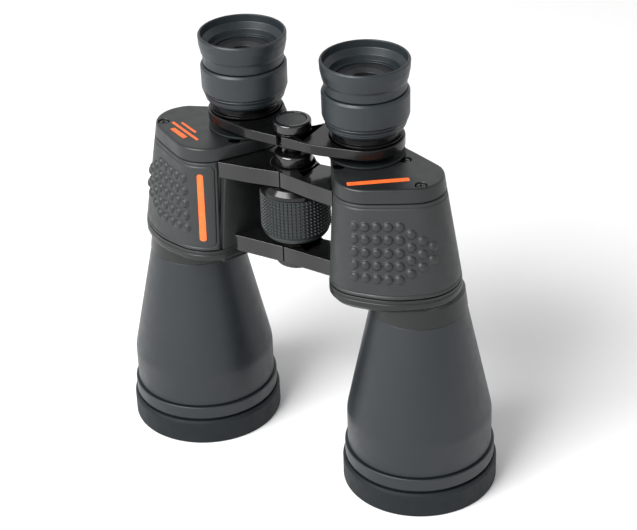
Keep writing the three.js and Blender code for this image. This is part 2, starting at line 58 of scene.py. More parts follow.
# ---- the frame ----------------------------------------------------------------------------------
class Measured:
    """Where a CAD node is at rest, in millimetres."""

    def __init__(self, node):
        low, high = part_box(node)
        self.x = (low.x + high.x) / 2 / MM
        self.y = (low.y + high.y) / 2 / MM
        self.radius = (high.x - low.x) / 2 / MM
        self.base = low.z / MM
        self.top = high.z / MM


def hinge_place():
    for joint in frame["joints"]:
        if joint["name"] == "interpupillary_hinge":
            return joint["pos_m"][0] / MM, joint["pos_m"][1] / MM


HINGE = hinge_place()
BUMPER = Measured("left_objective_bumper")
END_RING = Measured("left_objective_end_ring")
BARREL = Measured("left_objective_barrel")
HOUSING = Measured("left_prism_housing")
ARMOUR = Measured("left_armour")
COVER = Measured("left_cover_plate")
SLEEVE = Measured("left_eyepiece_sleeve")
TUBE = Measured("left_eyepiece_tube")
OCULAR = Measured("left_ocular_ring")
CELL = Measured("left_eye_lens_cell")
EYECUP = Measured("left_eyecup")
ARM = Measured("left_ocular_arm")
BUSH = Measured("hinge_bush")
WHEEL = Measured("focus_wheel")
GRIP = Measured("focus_wheel_grip")
SPINDLE = Measured("focus_spindle")
BUTTON = Measured("spindle_cap")
CAP = Measured("tripod_cap")

OBJECTIVE = (BUMPER.x, BUMPER.y)
EYEPIECE = (EYECUP.x, EYECUP.y)


# ---- mesh kit -----------------------------------------------------------------------------------
def rounded(corners, closed=True, steps=5):
    """An outline whose corners, each (across, up) or (across, up, radius), are turned into arcs."""
    points = []
    for i, corner in enumerate(corners):
        here = Vector(corner[:2])
        at_end = not closed and i in (0, len(corners) - 1)
        if len(corner) == 2 or at_end:
            points.append(here)
            continue
        before = Vector(corners[i - 1][:2]) - here
        after = Vector(corners[(i + 1) % len(corners)][:2]) - here
        half = before.angle(after) / 2
        reach = min(corner[2] / math.tan(half), 0.48 * before.length, 0.48 * after.length)
        radius = reach * math.tan(half)
        centre = here + (before.normalized() + after.normalized()).normalized() * radius / math.sin(half)
        start = here + before.normalized() * reach - centre
        end = here + after.normalized() * reach - centre
        first = math.atan2(start.y, start.x)
        turn = (math.atan2(end.y, end.x) - first + math.pi) % math.tau - math.pi
        for k in range(steps + 1):
            angle = first + turn * k / steps
            points.append(centre + Vector((math.cos(angle), math.sin(angle))) * radius)
    return points


def arc(centre, radius, first, last, steps):
    """Points on a circle from one angle to another, in degrees."""
    angles = [math.radians(first + (last - first) * i / steps) for i in range(steps + 1)]
    return [(centre[0] + radius * math.cos(a), centre[1] + radius * math.sin(a)) for a in angles]


def lathe(outline, axis, segments=ROUND):
    """Turns an outline of (radius, height) points about an upright axis."""
    verts, rings, faces = [], [], []
    for radius, height in outline:
        count = 1 if radius < 1e-6 else segments
        rings.append(range(len(verts), len(verts) + count))
        for i in range(count):
            angle = math.tau * i / segments
            verts.append((axis[0] + radius * math.cos(angle), axis[1] + radius * math.sin(angle), height))
    pairs = list(zip(rings, rings[1:]))
    if len(rings[0]) > 1:
        pairs.append((rings[-1], rings[0]))
    for low, high in pairs:
        for i in range(segments):
            j = (i + 1) % segments
            if len(low) == 1:
                faces.append((low[0], high[j], high[i]))
            elif len(high) == 1:
                faces.append((low[i], low[j], high[0]))
            else:
                faces.append((low[i], low[j], high[j], high[i]))
    return verts, faces


def loft(rings, looped=False):
    """A skin through rings of equal length. It ends in flat caps, or runs back to its first ring."""
    count = len(rings[0])
    verts = [tuple(point) for ring in rings for point in ring]
    faces = []
    for i in range(len(rings) if looped else len(rings) - 1):
        here = i * count
        onward = (i + 1) % len(rings) * count
        for j in range(count):
            k = (j + 1) % count
            faces.append((here + j, here + k, onward + k, onward + j))
    if not looped:
        faces.append(tuple(range(count)))
        faces.append(tuple(range(len(verts) - count, len(verts))))
    return verts, faces


def edge_levels(base, top, edge, steps=4):
    """Heights and insets up an upright side whose lower and upper edges are rounded."""
    quarter = [math.pi / 2 * i / steps for i in range(steps + 1)]
    low = [(base + edge * (1 - math.cos(a)), edge * (1 - math.sin(a))) for a in quarter]
    high = [(base + top - height, inset) for height, inset in reversed(low)]
    return low + high


def inward(outline, distance):
    """An outline, drawn counterclockwise, moved inwards."""
    moved = []
    for i, point in enumerate(outline):
        before = (Vector(point) - Vector(outline[i - 1])).normalized()
        after = (Vector(outline[(i + 1) % len(outline)]) - Vector(point)).normalized()
        side = Vector((-before.y, before.x))
        normal = (side + Vector((-after.y, after.x))).normalized()
        moved.append(Vector(point) + normal * distance / max(normal.dot(side), 0.4))
    return moved


def slab(outline, base, top, edge=0.5):
    """A plate of the outline's shape with rounded edges."""
    turned = zip(outline, outline[1:] + outline[:1])
    area = sum(a[0] * b[1] - b[0] * a[1] for a, b in turned)
    if area < 0:
        outline = outline[::-1]
    rings = []
    for height, inset in edge_levels(base, top, edge):
        rings.append([(x, y, height) for x, y in inward(outline, inset)])
    return loft(rings)


def moved(shell, place):
    verts, faces = shell
    return [tuple(place(Vector(v))) for v in verts], faces


def sided(shell, sign):
    """The shell as drawn for the left half, or its mirror image for the right half."""
    return moved(shell, lambda v: (v.x * sign, v.y, v.z))


def joined(shells):
    verts, faces = [], []
    for more_verts, more_faces in shells:
        first = len(verts)
        verts.extend(more_verts)
        faces.extend(tuple(first + i for i in face) for face in more_faces)
    return verts, faces


def mesh_object(name, shells):
    verts, faces = joined(shells)
    mesh = bpy.data.meshes.new(name)
    mesh.from_pydata([(x * MM, y * MM, z * MM) for x, y, z in verts], [], faces)
    work = bmesh.new()
    work.from_mesh(mesh)
    bmesh.ops.recalc_face_normals(work, faces=work.faces)
    work.to_mesh(mesh)
    work.free()
    obj = bpy.data.objects.new(name, mesh)
    bpy.context.scene.collection.objects.link(obj)
    return obj


def cut(obj, shells):
    """Cuts shells out of an object's mesh."""
    cutter = mesh_object("cutter", shells)
    boolean = obj.modifiers.new("cut", "BOOLEAN")
    boolean.operation = "DIFFERENCE"
    boolean.solver = "EXACT"
    boolean.object = cutter
    shaped = bpy.data.meshes.new_from_object(obj.evaluated_get(bpy.context.evaluated_depsgraph_get()))
    obj.modifiers.clear()
    obj.data = shaped
    bpy.data.objects.remove(cutter)


def piece(name, shells, node, finish=None, holes=(), crease=35, stands_for=True):
    """A visible piece that rides with a CAD node's body and, as a rule, stands for that node."""
    obj = mesh_object(name, shells)
    if holes:
        cut(obj, holes)
    obj.data.shade_smooth()
    obj.data.set_sharp_from_angle(angle=math.radians(crease))
    normals = obj.modifiers.new("even_normals", "WEIGHTED_NORMAL")
    normals.keep_sharp = True
    obj.data.materials.clear()
    obj.data.materials.append(FINISHES[finish or SLOT_OF[node]])
    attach(obj, BODY_OF[node])
    if stands_for:
        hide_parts(node)
    return obj


def turned(name, node, outline, axis, segments=ROUND, closed=True, **how):
    """A visible piece turned on a lathe, from corners of (radius, height) or (radius, height, rounding)."""
    piece(name, [lathe(rounded(outline, closed=closed), axis, segments)], node, **how)


# ---- materials ----------------------------------------------------------------------------------
NOISE_SPAN = (0.3, 0.7)                   # noise seldom leaves this range


def set_range(node, low, high, out_low, out_high):
    """Sets what a Map Range node turns into what."""
    for socket, number in zip(("From Min", "From Max", "To Min", "To Max"), (low, high, out_low, out_high)):
        node.inputs[socket].default_value = number


class Paintbox:
    """A material's nodes: colour, roughness and bump worked out from noise on the object's own axes."""

    def __init__(self, name, **sockets):
        self.material = bpy.data.materials.new(name)
        self.material.use_nodes = True
        self.nodes = self.material.node_tree.nodes
        self.links = self.material.node_tree.links
        self.shader = self.nodes["Principled BSDF"]
        self.place = self.nodes.new("ShaderNodeTexCoord").outputs["Object"]
        self.normal = None
        for socket, value in sockets.items():
            self.shader.inputs[socket.replace("_", " ")].default_value = value

    def noise(self, size, detail=3.0, roughness=0.55):
        """Noise whose features are about that many millimetres across, from 0 to 1."""
        node = self.nodes.new("ShaderNodeTexNoise")
        node.inputs["Scale"].default_value = 1 / (size * MM)
        node.inputs["Detail"].default_value = detail
        node.inputs["Roughness"].default_value = roughness
        self.links.new(self.place, node.inputs["Vector"])
        return node.outputs["Fac"]

    def cells(self, size):
        """Rounded cells about that many millimetres across: low in their middles, high between them."""
        node = self.nodes.new("ShaderNodeTexVoronoi")
        node.feature = "SMOOTH_F1"
        node.inputs["Scale"].default_value = 1 / (size * MM)
        node.inputs["Smoothness"].default_value = 0.6
        self.links.new(self.place, node.inputs["Vector"])
        return node.outputs["Distance"]

    def edges(self):
        """How far a place stands out from the surface round it."""
        return self.nodes.new("ShaderNodeNewGeometry").outputs["Pointiness"]

    def spread(self, value, low, high, out_low, out_high):
        """Turns a value's range from low to high into another range."""
        node = self.nodes.new("ShaderNodeMapRange")
        set_range(node, low, high, out_low, out_high)
        self.links.new(value, node.inputs["Value"])
        return node.outputs["Result"]

    def blend(self, share, first, second):
        """Mixes two colours, each a colour or a socket."""
        node = self.nodes.new("ShaderNodeMix")
        node.data_type = "RGBA"
        self.links.new(share, node.inputs["Factor"])
        for socket, colour in (("A", first), ("B", second)):
            target = next(i for i in node.inputs if i.name == socket and i.type == "RGBA")
            if isinstance(colour, tuple):
                target.default_value = (*colour, 1.0)
            else:
                self.links.new(colour, target)
        return next(o for o in node.outputs if o.type == "RGBA")

    def mottled(self, value, first, second):
        """Two colours in cloudy patches that follow a noise."""
        return self.blend(self.spread(value, *NOISE_SPAN, 0, 1), first, second)

    def marked(self, tone, value, low, high, share, colour):
        """A colour laid over a tone: none where the value is low, and that share where it is high."""
        return self.blend(self.spread(value, low, high, 0, share), tone, colour)

    def uneven(self, value, low, high):
        """A roughness that wanders between two figures with a noise."""
        return self.spread(value, *NOISE_SPAN, low, high)

    def bump(self, height, depth):
        """Adds relief of that many millimetres."""
        node = self.nodes.new("ShaderNodeBump")
        node.inputs["Strength"].default_value = 1.0
        node.inputs["Distance"].default_value = depth * MM
        self.links.new(height, node.inputs["Height"])
        if self.normal is not None:
            self.links.new(self.normal, node.inputs["Normal"])
        self.normal = node.outputs["Normal"]

    def finished(self, colour, roughness=None):
        self.links.new(colour, self.shader.inputs["Base Color"])
        if roughness is not None:
            self.links.new(roughness, self.shader.inputs["Roughness"])
        if self.normal is not None:
            self.links.new(self.normal, self.shader.inputs["Normal"])
        return self.material


def shade(colour, factor):
    return tuple(c * factor for c in colour)


def rubber(name, colour, grain, depth, roughness, shine=0.42):
    """Moulded rubber: fine grain, cloudy patches, a bloom of dust and paler rubbed edges."""
    box = Paintbox(name, Specular_IOR_Level=shine)
    tone = box.mottled(box.noise(22, 4), shade(colour, 0.9), shade(colour, 1.1))
    tone = box.marked(tone, box.noise(1.6, 5, 0.7), 0.58, 0.8, 0.5, shade(colour, 1.45))
    tone = box.marked(tone, box.edges(), 0.53, 0.62, 0.55, shade(colour, 1.7))
    rough = box.uneven(box.noise(5, 4), roughness - 0.06, roughness + 0.07)
    box.bump(box.cells(grain), depth)
    box.bump(box.noise(grain * 0.4, 4, 0.65), depth * 0.5)
    return box.finished(tone, rough)


def textured_paint(name, colour, grain, depth, roughness, shine=0.5):
    """Fine-textured paint on metal: crinkled grain, faint clouds, and wear to a lighter tone on edges."""
    box = Paintbox(name, Specular_IOR_Level=shine)
    tone = box.mottled(box.noise(30, 3), shade(colour, 0.93), shade(colour, 1.07))
    tone = box.marked(tone, box.noise(0.35, 2, 0.5), 0.62, 0.75, 0.6, shade(colour, 1.5))
    tone = box.marked(tone, box.edges(), 0.54, 0.64, 0.5, shade(colour, 2.0))
    rough = box.uneven(box.noise(7, 5), roughness - 0.05, roughness + 0.06)
    box.bump(box.noise(grain, 3, 0.6), depth)
    return box.finished(tone, rough)


def satin_paint(name, colour, roughness, shine):
    """Smooth black paint on a casting: a shine that blurs with its roughness, and worn edges."""
    box = Paintbox(name, Specular_IOR_Level=shine)
    tone = box.mottled(box.noise(14, 4), shade(colour, 0.7), shade(colour, 1.3))
    tone = box.marked(tone, box.noise(0.6, 3, 0.6), 0.64, 0.8, 0.35, shade(colour, 5.0))
    tone = box.marked(tone, box.edges(), 0.55, 0.66, 0.5, shade(colour, 8.0))
    rough = box.uneven(box.noise(10, 5, 0.6), roughness - 0.04, roughness + 0.06)
    box.bump(box.noise(0.5, 3, 0.6), 0.005)
    return box.finished(tone, rough)


def gloss_black(name, shine):
    """Black enamel with an orange-peel ripple, faint smears and a little dust."""
    box = Paintbox(name, Specular_IOR_Level=shine)
    tone = box.mottled(box.noise(9, 4), (0.002, 0.002, 0.0022), (0.004, 0.004, 0.0045))
    tone = box.marked(tone, box.noise(0.5, 3, 0.6), 0.66, 0.8, 0.5, (0.02, 0.02, 0.02))
    rough = box.spread(box.noise(12, 5, 0.6), 0.3, 0.75, 0.12, 0.24)
    box.bump(box.noise(1.4, 2), 0.006)
    return box.finished(tone, rough)


def blackened(name, colour, roughness, metallic):
    """Blackened or anodised metal with fine turning marks along its height and rubbed bright edges."""
    box = Paintbox(name, Specular_IOR_Level=0.5, Metallic=metallic)
    tone = box.mottled(box.noise(6, 4), shade(colour, 0.8), shade(colour, 1.25))
    tone = box.marked(tone, box.edges(), 0.54, 0.66, 0.6, shade(colour, 5.0))
    rough = box.uneven(box.noise(2, 4), roughness - 0.07, roughness + 0.08)
    marks = box.nodes.new("ShaderNodeTexWave")
    marks.bands_direction = "Z"
    marks.inputs["Scale"].default_value = 1 / (2.2 * MM) / math.tau
    marks.inputs["Distortion"].default_value = 0.4
    box.links.new(box.place, marks.inputs["Vector"])
    box.bump(marks.outputs["Fac"], 0.006)
    box.bump(box.noise(0.25, 3), 0.01)
    return box.finished(tone, rough)


def bare_metal(name, colour, roughness):
    """Bare turned or rolled metal with a satin grain and dull tarnish."""
    box = Paintbox(name, Metallic=1.0)
    tarnish = box.spread(box.noise(4, 5, 0.6), 0.45, 0.75, 0, 0.6)
    tone = box.blend(tarnish, colour, shade(colour, 0.6))
    rough = box.uneven(box.noise(1.2, 4), roughness - 0.06, roughness + 0.1)
    box.bump(box.noise(0.2, 4), 0.008)
    return box.finished(tone, rough)


def plastic(name, colour, roughness, shine=0.45):
    """Moulded matt plastic: spark-eroded grain and slight unevenness."""
    box = Paintbox(name, Specular_IOR_Level=shine)
    tone = box.mottled(box.noise(8, 3), shade(colour, 0.88), shade(colour, 1.12))
    tone = box.marked(tone, box.edges(), 0.54, 0.64, 0.5, shade(colour, 2.0))
    rough = box.uneven(box.noise(3, 4), roughness - 0.05, roughness + 0.07)
    box.bump(box.noise(0.3, 3, 0.6), 0.02)
    return box.finished(tone, rough)


def glass(name, tint, film):
    """Polished optical glass with a thin coating of that many nanometres, and specks of dust on it."""
    box = Paintbox(name, Transmission_Weight=1.0, IOR=1.53, Thin_Film_Thickness=film, Thin_Film_IOR=1.38)
    speck = box.spread(box.noise(0.6, 4, 0.6), 0.68, 0.8, 0, 0.4)
    tone = box.blend(speck, tint, shade(tint, 0.85))
    rough = box.spread(box.noise(10, 4), 0.35, 0.75, 0.0, 0.03)
    box.bump(box.noise(8, 1), 0.0004)
    return box.finished(tone, rough)


def ink(name, first, second, bare):
    """Printing ink: slightly uneven in tone, with pinholes that show what is under it."""
    box = Paintbox(name, Specular_IOR_Level=0.4)
    tone = box.mottled(box.noise(3, 3), first, second)
    tone = box.marked(tone, box.noise(0.3, 2), 0.7, 0.76, 0.6, bare)
    rough = box.uneven(box.noise(2, 3), 0.45, 0.6)
    box.bump(box.noise(0.4, 3), 0.01)
    return box.finished(tone, rough)


# Each finish by its slot's name: its recipe, and what the recipe takes after the name.
RECIPES = {
    "armour_rubber": (rubber, (0.0155, 0.0180, 0.0185), 0.5, 0.035, 0.46),
    "bumper_rubber": (rubber, (0.004, 0.007, 0.009), 0.4, 0.02, 0.62, 0.28),
    "eyepiece_rubber": (rubber, (0.009, 0.0135, 0.0165), 0.35, 0.015, 0.42),
    "wheel_rubber": (rubber, (0.014, 0.018, 0.018), 0.4, 0.02, 0.4),
    "casting_paint": (satin_paint, (0.0045, 0.0047, 0.0046), 0.1, 0.5),
    "arm_paint": (satin_paint, (0.003, 0.0031, 0.0031), 0.2, 0.3),
    "barrel_paint": (textured_paint, (0.006, 0.0095, 0.0125), 0.24, 0.02, 0.42),
    "housing_paint": (textured_paint, (0.005, 0.0062, 0.0062), 0.3, 0.02, 0.38, 0.42),
    "cover_paint": (textured_paint, (0.009, 0.0105, 0.011), 0.3, 0.03, 0.38, 0.46),
    "gloss_black": (gloss_black, 0.7),
    "tube_black": (gloss_black, 0.12),
    "black_metal": (blackened, (0.012, 0.012, 0.013), 0.35, 0.3),
    "black_screw": (blackened, (0.05, 0.05, 0.052), 0.2, 1.0),
    "black_plastic": (plastic, (0.010, 0.011, 0.012), 0.45),
    "sleeve_black": (plastic, (0.004, 0.006, 0.006), 0.55, 0.22),
    "wheel_black": (gloss_black, 0.35),
    "cap_plastic": (plastic, (0.022, 0.023, 0.024), 0.5),
    "spindle_steel": (blackened, (0.03, 0.03, 0.031), 0.25, 0.9),
    "spring_steel": (bare_metal, (0.5, 0.5, 0.5), 0.3),
    "shelf_metal": (blackened, (0.03, 0.03, 0.031), 0.6, 0.6),
    "brass": (bare_metal, (0.6, 0.44, 0.2), 0.3),
    "optical_glass": (glass, (0.96, 0.98, 0.98), 0.0),
    "coated_glass": (glass, (0.93, 0.96, 0.99), 125.0),
    "accent_ink": (ink, (0.82, 0.115, 0.018), (0.92, 0.15, 0.028), (0.35, 0.06, 0.02)),
}
FINISHES = {name: recipe(name, *values) for name, (recipe, *values) in RECIPES.items()}


# ---- plan of the housing ------------------------------------------------------------------------
# Seen from above, a housing is the hull of five circles, each (x, y, radius) with x and y from the
# hinge axis: the first five at the armour's lower end, and the other five at its upper end.
PLAN_BASE = (
    (37.5, 11.0, 17.0), (68.4, 2.3, 24.4), (57.9, 2.1, 30.4), (48.5, -10.8, 19.6), (72.4, 10.9, 13.0),
)
PLAN_TOP = (
    (36.0, 12.5, 18.3), (67.3, 2.6, 17.4), (58.0, 2.1, 20.5), (47.9, -8.3, 17.4), (72.4, 10.9, 7.6),
)
PLAN_BLEND = 0.35                         # how softly the circles run into one another
PLAN_STEPS = 720                          # steps a run round the plan is measured in


def plan_run(height, first, last, shares):
    """Places on the plan between two facing directions in degrees, each (x, y, facing).

    The shares, from 0 to 1, say how far along the way each place is. Where two circles reach about
    as far out, they are blended, so that the walls have no creases.
    """
    rise = max(0.0, (height - ARMOUR.base) / (ARMOUR.top - ARMOUR.base))
    circles = [[low + (high - low) * rise for low, high in zip(*pair)] for pair in zip(PLAN_BASE, PLAN_TOP)]
    walked, trail, distance = [], [], 0.0
    for i in range(PLAN_STEPS + 1):
        facing = math.radians(first + (last - first) * i / PLAN_STEPS)
        out = Vector((math.cos(facing), math.sin(facing)))
        reaches = [x * out.x + y * out.y + radius for x, y, radius in circles]
        weights = [math.exp((reach - max(reaches)) / PLAN_BLEND) for reach in reaches]
        total = sum(weights)
        reach = max(reaches) + PLAN_BLEND * math.log(total)
        sideways = sum(w * (y * out.x - x * out.y) for w, (x, y, _) in zip(weights, circles)) / total
        point = Vector((
            HINGE[0] + reach * out.x - sideways * out.y, HINGE[1] + reach * out.y + sideways * out.x,
        ))
        if trail:
            distance += (point - trail[-1][0]).length
        walked.append(distance)
        trail.append((point, facing))
    places, i = [], 1
    for share in shares:
        goal = share * distance
        while i < len(walked) - 1 and walked[i] < goal:
            i += 1
        part = min(1.0, max(0.0, (goal - walked[i - 1]) / max(walked[i] - walked[i - 1], 1e-9)))
        point = trail[i - 1][0].lerp(trail[i][0], part)
        facing = trail[i - 1][1] + (trail[i][1] - trail[i - 1][1]) * part
        places.append((point.x, point.y, facing))
    return places


def plan_length(height, first, last, steps=400):
    """How far it is along the plan between two facing directions."""
    places = plan_run(height, first, last, [i / steps for i in range(steps + 1)])
    return sum(math.dist(a[:2], b[:2]) for a, b in zip(places, places[1:]))


def plan_ring(height, inset, count=240, inner_inset=None):
    """The whole plan at a height, moved inwards, as a ring of points.

    The wall beside the hinge, beyond the ends of the armour, may be moved by another distance.
    """
    ring = []
    for x, y, facing in plan_run(height, -180, 180, [i / count for i in range(count)]):
        bare = inner_inset is not None and abs(math.degrees(facing)) > BARE_FROM
        depth = inner_inset if bare else inset
        ring.append((x - depth * math.cos(facing), y - depth * math.sin(facing), height))
    return ring


def ring_about(axis, radius, height, guide):
    """A circle whose points stand in the same directions from its axis as a guide ring's points."""
    ring = []
    for x, y, _ in guide:
        out = Vector((x - axis[0], y - axis[1])).normalized() * radius
        ring.append((axis[0] + out.x, axis[1] + out.y, height))
    return ring


def from_hinge(x, y):
    return (HINGE[0] + x, HINGE[1] + y)


# ---- armour -------------------------------------------------------------------------------------
ARMOUR_END = 144                          # facing, in degrees, at which the armour ends, front and back
BARE_FROM = ARMOUR_END + 2                # facing from which the housing's wall is bare
SKIN = 1.7                                # thickness of the rubber
EDGE = 1.0                                # rounding of its edges
END_ROLL = {"along": 3.6, "depth": 1.3}   # the broader rounding of its two upright edges
GROOVE = {"offset": 2.1, "corner": 3.0, "depth": 0.45, "width": 0.42}
BUMP = {"radius": 2.5, "height": 1.4, "along": 5.72, "up": 6.8}
# How the block of bumps lies on each half: where it starts from the armour's end, the height of its
# middle, and how far its columns lean for each millimetre of height.
BUMP_BLOCK = {
    "left": {"start": 20.2, "middle": 150.1, "lean": -0.08},
    "right": {"start": 19.9, "middle": 151.4, "lean": 0.06},
}
ARMOUR_LENGTH = plan_length((ARMOUR.base + ARMOUR.top) / 2, -ARMOUR_END, ARMOUR_END)


def graded(length, fine, fine_zone, coarse):
    """Marks from 0 to a length, close together near both ends and wider in the middle."""
    ends = [fine * i for i in range(int(fine_zone / fine) + 1)]
    middle = length - 2 * ends[-1]
    count = max(1, round(middle / coarse))
    between = [ends[-1] + middle * i / count for i in range(1, count)]
    return ends + between + [length - mark for mark in reversed(ends)]


def within(along, up, length, height, offset, corner):
    """How far a place lies inside a rounded rectangle that is set in from the armour's edges."""
    across = min(along, length - along) - offset
    upright = min(up, height - up) - offset
    if across < corner and upright < corner:
        return corner - math.hypot(corner - across, corner - upright)
    return min(across, upright)


def roll(margin, width, depth):
    """How far an edge has fallen away, that near to its end, over a quarter of an ellipse."""
    if margin >= width:
        return 0.0
    return depth * (1 - math.sqrt(max(0.0, 1 - (1 - margin / width) ** 2)))


def armour_inset(along, up):
    """How far the rubber's outer face lies inside the plan: rounded edges, and a groove round the panel."""
    height = ARMOUR.top - ARMOUR.base
    rolled = roll(min(up, height - up), EDGE, EDGE)
    rolled = max(rolled, roll(min(along, ARMOUR_LENGTH - along), END_ROLL["along"], END_ROLL["depth"]))
    inside = within(along, up, ARMOUR_LENGTH, height, GROOVE["offset"], GROOVE["corner"])
    return rolled + GROOVE["depth"] * math.exp(-((inside / GROOVE["width"]) ** 2))


def armour_face(along, up):
    """A point on the armour's smooth outer face, and its outward direction there."""
    run = plan_run(ARMOUR.base + up, -ARMOUR_END, ARMOUR_END, [along / ARMOUR_LENGTH])
    x, y, facing = run[0]
    return Vector((x, y, ARMOUR.base + up)), facing


def grid_shell(front, back, columns):
    """A sheet between two grids of points, both given row by row: its two faces and the rim round them."""
    rows, first = len(front) // columns, len(front)
    faces = []
    for row in range(rows - 1):
        for column in range(columns - 1):
            a = row * columns + column
            face = (a, a + 1, a + columns + 1, a + columns)
            faces.append(face)
            faces.append(tuple(first + i for i in reversed(face)))
    rim = list(range(columns))
    rim += [r * columns + columns - 1 for r in range(1, rows)]
    rim += [(rows - 1) * columns + c for c in range(columns - 2, -1, -1)]
    rim += [r * columns for r in range(rows - 2, 0, -1)]
    for a, b in zip(rim, rim[1:] + rim[:1]):
        faces.append((b, a, first + a, first + b))
    return front + back, faces


def armour_shell():
    """The skin without its bumps, with finer steps near its rounded edges and its groove."""
    marks = graded(ARMOUR_LENGTH, 0.3, 4.8, 1.5)
    levels = graded(ARMOUR.top - ARMOUR.base, 0.25, 4.5, 3.0)
    shares = [mark / ARMOUR_LENGTH for mark in marks]
    front, back = [], []
    for up in levels:
        height = ARMOUR.base + up
        for mark, (x, y, a) in zip(marks, plan_run(height, -ARMOUR_END, ARMOUR_END, shares)):
            inset = armour_inset(mark, up)
            front.append((x - inset * math.cos(a), y - inset * math.sin(a), height))
            back.append((x - SKIN * math.cos(a), y - SKIN * math.sin(a), height))
    return grid_shell(front, back, len(marks))


def bump_places(side):
    """The grip bumps: a block of five columns, then three shorter ones that taper to a point."""
    block = BUMP_BLOCK[side]
    for column, count in enumerate((5, 5, 5, 5, 5, 4, 3, 2)):
        for row in range(count):
            rise = (row - (count - 1) / 2) * BUMP["up"] - max(0, column - 4) * 0.4
            up = block["middle"] - ARMOUR.base + rise
            from_end = block["start"] + BUMP["along"] * column + block["lean"] * rise
            yield from_end * ARMOUR_LENGTH / plan_length(ARMOUR.base + up, -ARMOUR_END, ARMOUR_END), up


def bump(along, up):
    """A flat dome on the armour, with a small foot so that it rises out of the skin in a curve."""
    here, _ = armour_face(along, up)
    side = (armour_face(along + 0.5, up)[0] - armour_face(along - 0.5, up)[0]).normalized()
    rise = (armour_face(along, up + 0.5)[0] - armour_face(along, up - 0.5)[0]).normalized()
    out = side.cross(rise).normalized()
    rise = out.cross(side)
    root = BUMP["radius"] + 0.45
    outline = [(0.0, -0.5), (root, -0.5), (root, -0.04), (BUMP["radius"] + 0.12, 0.06)]
    steps = 9
    for i in range(1, steps):
        angle = math.pi / 2 * i / steps
        outline.append((BUMP["radius"] * math.cos(angle), BUMP["height"] * math.sin(angle)))
    outline.append((0.0, BUMP["height"]))
    dome = lathe(outline, (0, 0), 24)
    return moved(dome, lambda v: here + side * v.x + rise * v.y + out * v.z)


def armour(side, sign):
    bumps = [bump(along, up) for along, up in bump_places(side)]
    shells = [sided(shell, sign) for shell in [armour_shell(), *bumps]]
    piece(f"{side}_armour_skin", shells, f"{side}_armour")


# The plain orange bar up the armour: its two ends along the skin from the armour's end, its lower and
# upper ends above the skin's foot, its corners' rounding and how far it leans for each millimetre.
ARMOUR_BAR = {"start": 7.4, "end": 10.8, "base": 6.0, "top": 43.6, "corner": 1.4, "lean": 0.04}


def armour_bar(side, sign):
    base, corner = ARMOUR_BAR["base"], ARMOUR_BAR["corner"]
    length = ARMOUR_BAR["top"] - base
    columns = 7
    sheets = []
    for lift in (0.12, -0.4):
        sheet = []
        for up in graded(length, 0.2, corner, 3.0):
            near = min(up, length - up)
            short = 0.0
            if near < corner:
                short = corner - math.sqrt(max(0.0, corner ** 2 - (corner - near) ** 2))
            low = ARMOUR_BAR["start"] + short + ARMOUR_BAR["lean"] * up
            high = ARMOUR_BAR["end"] - short + ARMOUR_BAR["lean"] * up
            for i in range(columns):
                point, facing = armour_face(low + (high - low) * i / (columns - 1), base + up)
                x, y = point.x + lift * math.cos(facing), point.y + lift * math.sin(facing)
                sheet.append((x, y, point.z))
        sheets.append(sheet)
    bar = sided(grid_shell(*sheets, columns), sign)
    piece(f"{side}_armour_bar", [bar], f"{side}_armour", finish="accent_ink", stands_for=False)


# ---- prism housing ------------------------------------------------------------------------------
FLANGE = {"base": 116.5, "top": 125.2, "draft": 1.8, "step": 2.0}
FLOOR_TOP = FLANGE["base"] + 4.5          # of the casting's floor, inside
COLLAR = {"foot": 25.3, "top": 24.0}      # the socket under the flange that the barrel screws into
CAVITY_INSET = 4.2
BARE_INSET = 0.3                          # of the wall beside the hinge, which the armour leaves bare
# A hinge lug's front runs out from the hinge, and its back runs on round to the knuckle.
LUG_HUB = {"outer": 11.5, "bore": 6.3}
LUG_UPPER = {
    "base": 166.4, "top": HOUSING.top,
    "front": [(0.4, -14.0), (8, -15.2, 30), (18, -17.0, 30), (33.8, -18.9)],
    "back": [(37, -13), (36, 5.0), (11.3, 3.4)],
}
LUG_LOWER = {
    "base": 122.3, "top": 131.5,
    "front": [(0.4, -13.6), (10, -13.9, 30), (20, -14.2, 30), (36, -14.8)],
    "back": [(36, 5.0), (11.3, 3.4)],
}


def clear_of_collar(ring):
    """Pushes a ring of the flange out to the collar's shoulder, wherever it would cut into it."""
    shoulder = COLLAR["top"] - max(0.0, ring[0][2] - FLANGE["base"])
    pushed = []
    for x, y, height in ring:
        out = Vector((x - OBJECTIVE[0], y - OBJECTIVE[1]))
        if out.length < shoulder and height < FLANGE["base"] + 4:
            out = out.normalized() * shoulder
        pushed.append((OBJECTIVE[0] + out.x, OBJECTIVE[1] + out.y, height))
    return pushed


